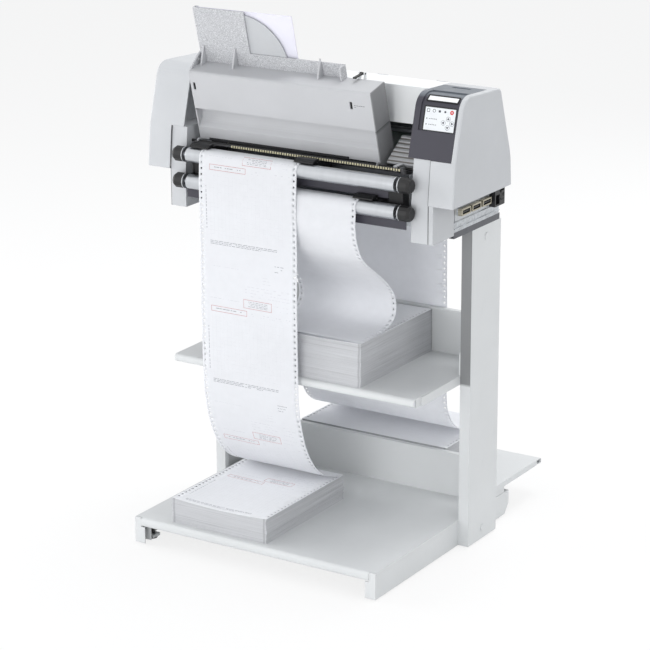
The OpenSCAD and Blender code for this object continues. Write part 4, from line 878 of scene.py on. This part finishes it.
def form_marks(seed):
    """Marks of one blank business form, in mm from its top left corner: grey, faint and red."""
    draw = random.Random(seed)
    grey, faint, red = [], [], []

    # head: an address at the right, lines at the left and in the middle
    for k, y in enumerate((15, 21, 27)):
        grey += words(draw, y, 186, 210 - 4 * k, 1.1)
    faint += words(draw, 34, 24, 96, 1.0)
    for y in (44, 50, 57):
        faint += words(draw, y, 156, 176, 1.2)
    for y in (68, 74.5, 81, 88):
        faint += words(draw, y, 112, 222, 1.5, 0.6)
    faint += words(draw, 104, 24, 98, 1.4, 0.4)
    faint += words(draw, 101, 184, 222, 1.3, 0.4)
    faint += words(draw, 111, 184, 222, 1.3, 0.5)

    # two boxes with their lines, and the row beside the lower one
    red += outline(108, 178, 97, 116)
    for y in (101, 104.5, 108, 111):
        grey += words(draw, y, 119 + draw.uniform(0, 5), 168, 1.0, 0.1)
    red += outline(26, 116, 122, 134)
    grey += words(draw, 126.5, 38, 104, 1.6, 0.3)
    faint += words(draw, 126, 122, 224, 2.0, 0.9, 3, 6)
    faint += words(draw, 131, 130, 220, 1.2, 0.9, 2, 4)

    # table: columns, rows of figures, and a line of marks down its left side
    for k in range(20):
        x = 28 + 9.4 * k
        faint.append((x, x + 0.3, 142, 278))
    for k in range(16):
        y = 146 + 8.3 * k
        faint += [(a, b, y, y + 0.35) for a, b, _, _ in words(draw, y, 26, 206, 1, 0.8, 3, 14)]
    for y, x1 in ((285, 192), (288.2, 192), (291.4, 152)):
        grey += words(draw, y, 26, x1, 1.2, 0.04, 4, 12)
    y = 168.0
    while y < 262:
        h = draw.uniform(2.5, 7)
        grey.append((17.5, 18.6, y, y + h))
        y += h + draw.uniform(1.2, 4)
    return grey, faint, red


def put_form(name, top, start, end, place, seed):
    """Prints one form whose top edge is at v = top, where it lies between start and end."""
    inks = (("grey", GREY_INK), ("faint", FAINT_INK), ("red", RED_INK))
    for (kind, material), marks in zip(inks, form_marks(seed)):
        kept = []
        for u0, u1, v0, v1 in marks:
            a, b = max(top + v0, start), min(top + v1, end)
            if b - a > 0.2:
                kept.append((u0, u1, a, b))
        if kept:
            printed(name + "_" + kind, kept, place, material)


def along(path, x0, ripple=0.0, seed=0):
    """place(u, v, h) for a strip whose left edge is at x0, with a slight ripple of its edges."""
    draw = random.Random(seed)
    waves = [(draw.uniform(80, 210), draw.uniform(0, 6.3), draw.uniform(0.3, 1.0)) for _ in range(4)]

    def place(u, v, h=0.0):
        wave = sum(s * math.sin(v / l * 6.28 + p + u / 90.0) for l, p, s in waves) / 3
        fade = min(1.0, max(0.0, (v - 60) / 80), max(0.0, (path.length - v - 10) / 80))
        y, z = path.at(v, h + ripple * wave * fade)
        return to_world(x0 + u, y, z)

    return place


def pile_loop():
    """Points round a pile, as shares of its width and depth."""
    loop = [(i / PILE_X, 0.0) for i in range(PILE_X)] + [(1.0, j / PILE_Y) for j in range(PILE_Y)]
    loop += [(1 - i / PILE_X, 1.0) for i in range(PILE_X)]
    return loop + [(0.0, 1 - j / PILE_Y) for j in range(PILE_Y)]


def loop_number(i, j):
    """Number in pile_loop() of the grid point i across and j along, or None inside the loop."""
    if j == 0:
        return i
    if i == PILE_X:
        return PILE_X + j
    if j == PILE_Y:
        return 2 * PILE_X + PILE_Y - i
    return None if i else 2 * PILE_X + 2 * PILE_Y - j


def ragged(draw, count):
    """Returns inward(side, share, inset): how far the leaves of one side stand in at a height."""
    slow = [(draw.uniform(0.4, 1.3), draw.uniform(0, 6.3)) for _ in range(6)]
    shifts = [tuple(draw.uniform(-m, m) for m in LEAF_SHIFT) for _ in range(count + 1)]

    def inward(side, share, inset):
        wave = sum(size * math.sin(share * turns * a + p)
                   for (size, turns), (a, p) in zip(WAVES, slow[side:side + 2]))
        return SET_BACK[side] + inset + shifts[min(count, int(share * count))][side] + wave

    return inward


def well_floor(verts, faces, ring, point):
    """Closes the loop of points that starts at ring with a grid, whose inner points point(x, y) gives."""
    rows = []
    for j in range(PILE_Y + 1):
        row = []
        for i in range(PILE_X + 1):
            number = loop_number(i, j)
            if number is None:
                row.append(len(verts))
                verts.append(point(i / PILE_X, j / PILE_Y))
            else:
                row.append(ring + number)
        rows.append(row)
    for a, b in zip(rows, rows[1:]):
        for i in range(PILE_X):
            faces.append((a[i], a[i + 1], b[i + 1], b[i]))


def pile(name, x0, width, span, z0, z1, material, seed, sag=0.0):
    """A pile of folded sheets with uneven edges; returns it and place(u, v, h) of its top page."""
    y0, depth, height = span[0], span[1] - span[0], z1 - z0
    count = max(8, round(height / LEAF))
    inward = ragged(random.Random(seed), count)
    loop = pile_loop()
    n = len(loop)
    verts, faces = [], []

    def dip(x, y):
        """How far the top has sunk at a place, both from 0 to 1."""
        across = 1 - (2 * x - 1) ** 2
        return sag * across * (1 - 0.75 * y)

    levels = [((k + part) / count, inset) for k in range(count) for part, inset in LEAF_EDGE]
    levels[0] = (0.0, 0.0)
    levels[-1] = (1.0, 0.0)
    for share, inset in levels:
        for x, y in loop:
            px, py = x0 + x * width, y0 + y * depth
            if x in (0, 1):
                px += (1 - 2 * x) * inward(int(x), share, inset)
            if y in (0, 1):
                py += (1 - 2 * y) * inward(2 + int(y), share, inset)
            verts.append(to_world(px, py, z0 + share * (height - dip(x, y) - RIM_DROP)))
    for down in (RIM_DROP, WELL):
        for x, y in loop:
            px = x0 + min(max(x * width, RIM_X), width - RIM_X)
            py = y0 + min(max(y * depth, RIM_Y), depth - RIM_Y)
            verts.append(to_world(px, py, z1 - dip(x, y) - down))
    for ring in range(n, len(verts), n):
        bridge(faces, ring - n, ring, n)
    faces.append(tuple(reversed(range(n))))
    well_floor(verts, faces, len(verts) - n,
               lambda x, y: to_world(x0 + x * width, y0 + y * depth, z1 - dip(x, y) - WELL))
    piece = new_piece(name, verts, faces, material)

    def place(u, v, h=0.0):
        """The top page: v runs from the rear fold to the front."""
        x, y = u / width, 1 - v / depth
        return to_world(x0 + u, y0 + y * depth, z1 - dip(x, y) - SHEET / 2 + h)

    return piece, place


def top_page(name, width, span, place, columns=14):
    """The sheet that lies on a pile, a little short of its folds."""
    length = span[1] - span[0]
    sheet_piece(name, width, PAGE_EDGE, length - PAGE_EDGE, 0.0, place, columns, PAGE)


out_path = Path(
    [(MOUTH_Y, UP_Z + RIDE)] + over_roller(UP_Z)
    + [(ROLLER_Y - RIDE - 3, LOW_Z), (ROLLER_Y - RIDE - 1, FOLD_1)]
    + bezier((ROLLER_Y - RIDE - 1, FOLD_1), (ROLLER_Y - 20, FOLD_1 - 90),
             (ROLLER_Y - 18, FOLD_2 + 90), (ROLLER_Y - 15, FOLD_2))
    + bezier((ROLLER_Y - 15, FOLD_2), (ROLLER_Y - 4, FOLD_2 - 115),
             (-195, OUT_TOP + 8), (OUT_SPAN[1] - 3, OUT_TOP + 2)))
in_path = Path(
    spline([(-239, IN_TOP + 1), (-170, IN_TOP + 2), (-122, IN_TOP + 8), (-99, IN_TOP + 32),
            (-105, IN_TOP + 68), (-133, IN_TOP + 100), (-180, IN_TOP + 136), (-230, IN_TOP + 173),
            (-254, IN_TOP + 211), (ROLLER_Y - RIDE - 1.2, LOW_Z - 42), (ROLLER_Y - RIDE, LOW_Z - 12)])
    + list(reversed(over_roller(LOW_Z))) + [(MOUTH_Y, LOW_Z + RIDE)], -1)
rear_path = Path(
    spline([(REAR_SPAN[1] - 2, REAR_TOP + 1), (218, REAR_TOP + 6), (138, REAR_TOP + 26),
            (90, REAR_TOP + 68), (74, REAR_TOP + 130), (72, REAR_TOP + 300), (68, PRINTER_Z - 30),
            (64, PRINTER_Z + 20), (52, PRINTER_Z + 44), (30, PRINTER_Z + 52)]), -1)

out_place = along(out_path, OUT_X, 0.5, 3)
fold = out_path.length_at(FOLD_1)
out_web = sheet_piece("output_web", NARROW, 0.0, out_path.length, fold, out_place)
for k, top in enumerate((fold - FORM, fold, fold + FORM)):
    put_form("form_%d" % k, top, 2.0, out_path.length - 2, out_place, 20 + k)
out_pile, page = pile("output_pile", OUT_X + 1, NARROW - 1, OUT_SPAN, TRAY_Z, OUT_TOP,
                      OUT_LEAVES, 5, sag=5.0)
top_page("output_page", NARROW - 1, OUT_SPAN, page)
put_form("form_3", 0.0, 3.0, FORM - 3, page, 23)
for piece in (out_web, out_pile):
    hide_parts("output_paper")

in_place = along(in_path, IN_X, 0.6, 8)
in_web = sheet_piece("input_web", NARROW, 0.0, in_path.length, in_path.length - 20 * PITCH, in_place)
in_pile, page = pile("input_pile", IN_X, NARROW - 1, IN_SPAN, MID_Z, IN_TOP - PILE_DROP,
                     IN_LEAVES, 6, sag=3.0)
top_page("input_page", NARROW - 1, IN_SPAN, page)
for piece in (in_web, in_pile):
    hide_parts("input_paper")

rear_place = along(rear_path, WIDE_X, 0.8, 12)
rear_web = sheet_piece("rear_web", WIDE, 0.0, rear_path.length, 0.0, rear_place, 20)
rear_pile, page = pile("rear_pile", WIDE_X, WIDE - 1, REAR_SPAN, REAR_Z, REAR_TOP - PILE_DROP,
                       REAR_LEAVES, 7)
top_page("rear_page", WIDE - 1, REAR_SPAN, page, 20)
for piece in (rear_web, rear_pile):
    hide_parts("rear_paper")

# ---------------------------------------------------------------- small fittings

FACE_LEAN = math.atan2(36, 131)  # slope of the bezel's face
FACE_AT = (-220.0, PRINTER_Z + 160.0)
CORNER_LEAN = math.radians(36.16)  # the display looks up from a round corner
CORNER_AT, CORNER_R = (-156.87, PRINTER_Z + 253.87), 36.0
KEY_X0, KEY_X1, KEY_T0, KEY_T1 = 285.0, 354.0, 64.0, 110.0  # edges of the keypad's film
KEY_FRONT = 1.95  # set-back of the film from the bezel's face
MARK = (-0.05, 0.08)  # a printed mark's levels on its surface
SLOT_LEFT, SLOT_RIGHT, SLOT_T = -250.0, 132.0, 124.0
SLOT_FLOOR, TABLE_FACE = 12.7, 8.4
SEAL_LEFT, SEAL_RIGHT = -235.0, 108.0
SEAL = [(5.9, 1.6), (8.2, 1.2), (8.9, 2.0), (9.0, 5.6), (8.5, 6.6), (7.4, 6.9), (6.6, 6.2), (6.2, 3.4)]


def turned_place(at, lean):
    """place(x, a, b) in a frame turned about X: a to the rear, b upwards, before the turn."""
    def place(x, a, b):
        return to_world(x, at[0] + a * math.cos(lean) - b * math.sin(lean),
                        at[1] + a * math.sin(lean) + b * math.cos(lean))
    return place


on_table = turned_place(TABLE_AT, TABLE_LEAN)
on_face = turned_place(FACE_AT, -FACE_LEAN)
on_corner = turned_place(CORNER_AT, CORNER_LEAN)


def rounded(x0, x1, y0, y1, radius, steps=4):
    """Outline of a rectangle with round corners."""
    out = []
    for cx, cy, start in ((x1 - radius, y1 - radius, 0), (x0 + radius, y1 - radius, 90),
                          (x0 + radius, y0 + radius, 180), (x1 - radius, y0 + radius, 270)):
        for k in range(steps + 1):
            a = math.radians(start + 90 * k / steps)
            out.append((cx + radius * math.cos(a), cy + radius * math.sin(a)))
    return out


def prism(verts, faces, outer, low, high, hole=None):
    """Adds a solid between two levels; low and high turn an outline's corner into a place."""
    n, base = len(outer), len(verts)
    for level in (low, high):
        verts += [level(*p) for p in (*outer, *(hole or ()))]
    top = (base + len(verts)) // 2
    bridge(faces, base, top, n)
    if hole:
        bridge(faces, top, top + n, n)
        bridge(faces, top + n, base + n, n)
        bridge(faces, base + n, base, n)
    else:
        faces.append(tuple(reversed(range(base, top))))
        faces.append(tuple(range(top, top + n)))


def raised(name, shapes, level, heights, material, body=ROOT):
    """Flat shapes (outline, hole or None) standing from one height to another on a surface."""
    low, high = heights
    verts, faces = [], []
    for outer, hole in shapes:
        prism(verts, faces, outer, lambda u, v: level(u, v, low), lambda u, v: level(u, v, high), hole)
    return new_piece(name, verts, faces, material, body)


def ring_of(cx, cy, radius, count, start=0.0):
    """Corners of a regular outline."""
    turns = [math.radians(start + 360 * k / count) for k in range(count)]
    return [(cx + radius * math.cos(a), cy + radius * math.sin(a)) for a in turns]


# Surfaces that the fittings stand on: a place along and up the surface, and its height over it
def face_level(u, v, h):
    return on_face(u, KEY_FRONT - h, v)


def corner_level(u, v, h):
    return on_corner(u, v, CORNER_R + h)


def slot_level(u, v, h):
    return on_table(u, SLOT_FLOOR - h, v)


def table_level(u, v, h):
    return on_table(u, TABLE_FACE - h, v)


def key(share_x, share_y):
    """Place on the keypad from shares of its width and, downwards, its height."""
    return KEY_X0 + share_x * (KEY_X1 - KEY_X0), KEY_T1 - share_y * (KEY_T1 - KEY_T0)


def bar(cx, cy, w, h):
    """A bar with slightly round corners, as a shape without a hole."""
    return rounded(cx - w / 2, cx + w / 2, cy - h / 2, cy + h / 2, min(w, h) * 0.2, 2), None


def key_marks():
    """Generic marks: a row of key frames, two rows with a lamp and a legend bar, four arrows."""
    shapes = []
    for share, size, corners, start in ((0.10, 4.6, 4, 45), (0.29, 3.4, 16, 0)):
        at = key(share, 0.15)
        shapes.append((ring_of(*at, size, corners, start), ring_of(*at, size * 0.72, corners, start)))
    for share, w in ((0.47, 5.0), (0.65, 4.2)):
        shapes.append(bar(*key(share, 0.15), w, w * 0.9))
    for row in (0.5, 0.75):
        shapes.append(bar(*key(0.08, row), 2.2, 2.2))
        for k in range(5):
            shapes.append(bar(*key(0.17 + 0.055 * k, row), 2.6, 1.1))
    for x, y, turn in ((0.78, 0.44, 90), (0.63, 0.62, 180), (0.91, 0.62, 0), (0.78, 0.81, 270)):
        at = key(x, y)
        shapes.append((ring_of(*at, 3.3, 3, turn), None))
        shapes.append((ring_of(*at, 5.0, 20), ring_of(*at, 4.5, 20)))
    return shapes


raised("keypad_marks", key_marks(), face_level, MARK, ICON_INK)
stop = key(0.87, 0.15)
raised("keypad_stop", [(ring_of(*stop, 4.4, 8, 22.5), ring_of(*stop, 1.5, 8, 22.5))],
       face_level, MARK, STOP_INK)
# black ring round the keypad's film: painted shade at the edges of its recess
raised("keypad_recess_shade", [(rounded(KEY_X0 - 2.6, KEY_X1 + 1.4, KEY_T0 - 1.6, KEY_T1 + 2.2, 1.5),
                      rounded(KEY_X0 + 0.2, KEY_X1 - 0.2, KEY_T0 + 0.2, KEY_T1 - 0.2, 0.5))],
       face_level, (-0.9, 0.25), BLACK)
raised("display_frame", [(rounded(281.5, 354.5, -8.5, 8.5, 2.5), rounded(284.4, 351.6, -6.1, 6.1, 0.5))],
       corner_level, (-4.6, -2.0), BLACK)
raised("slot_liners", [bar(x, SLOT_T, 10, 20) for x in (SLOT_LEFT, SLOT_RIGHT)],
       slot_level, (0.0, 1.0), BLACK, "sheet_table")
raised("scale_mark", [bar(SLOT_RIGHT + 9 + 5.2 * k, SLOT_T + 1, 4.4, 1.0) for k in range(5)]
       + [bar(SLOT_RIGHT + 9, SLOT_T - 3, 4.0, 0.9)],
       table_level, MARK, ICON_INK, "sheet_table")

verts, faces = [], []
prism(verts, faces, SEAL, lambda a, b: on_table(SEAL_LEFT, a, b), lambda a, b: on_table(SEAL_RIGHT, a, b))
new_piece("seal_strip", verts, faces, GASKET, "sheet_table")
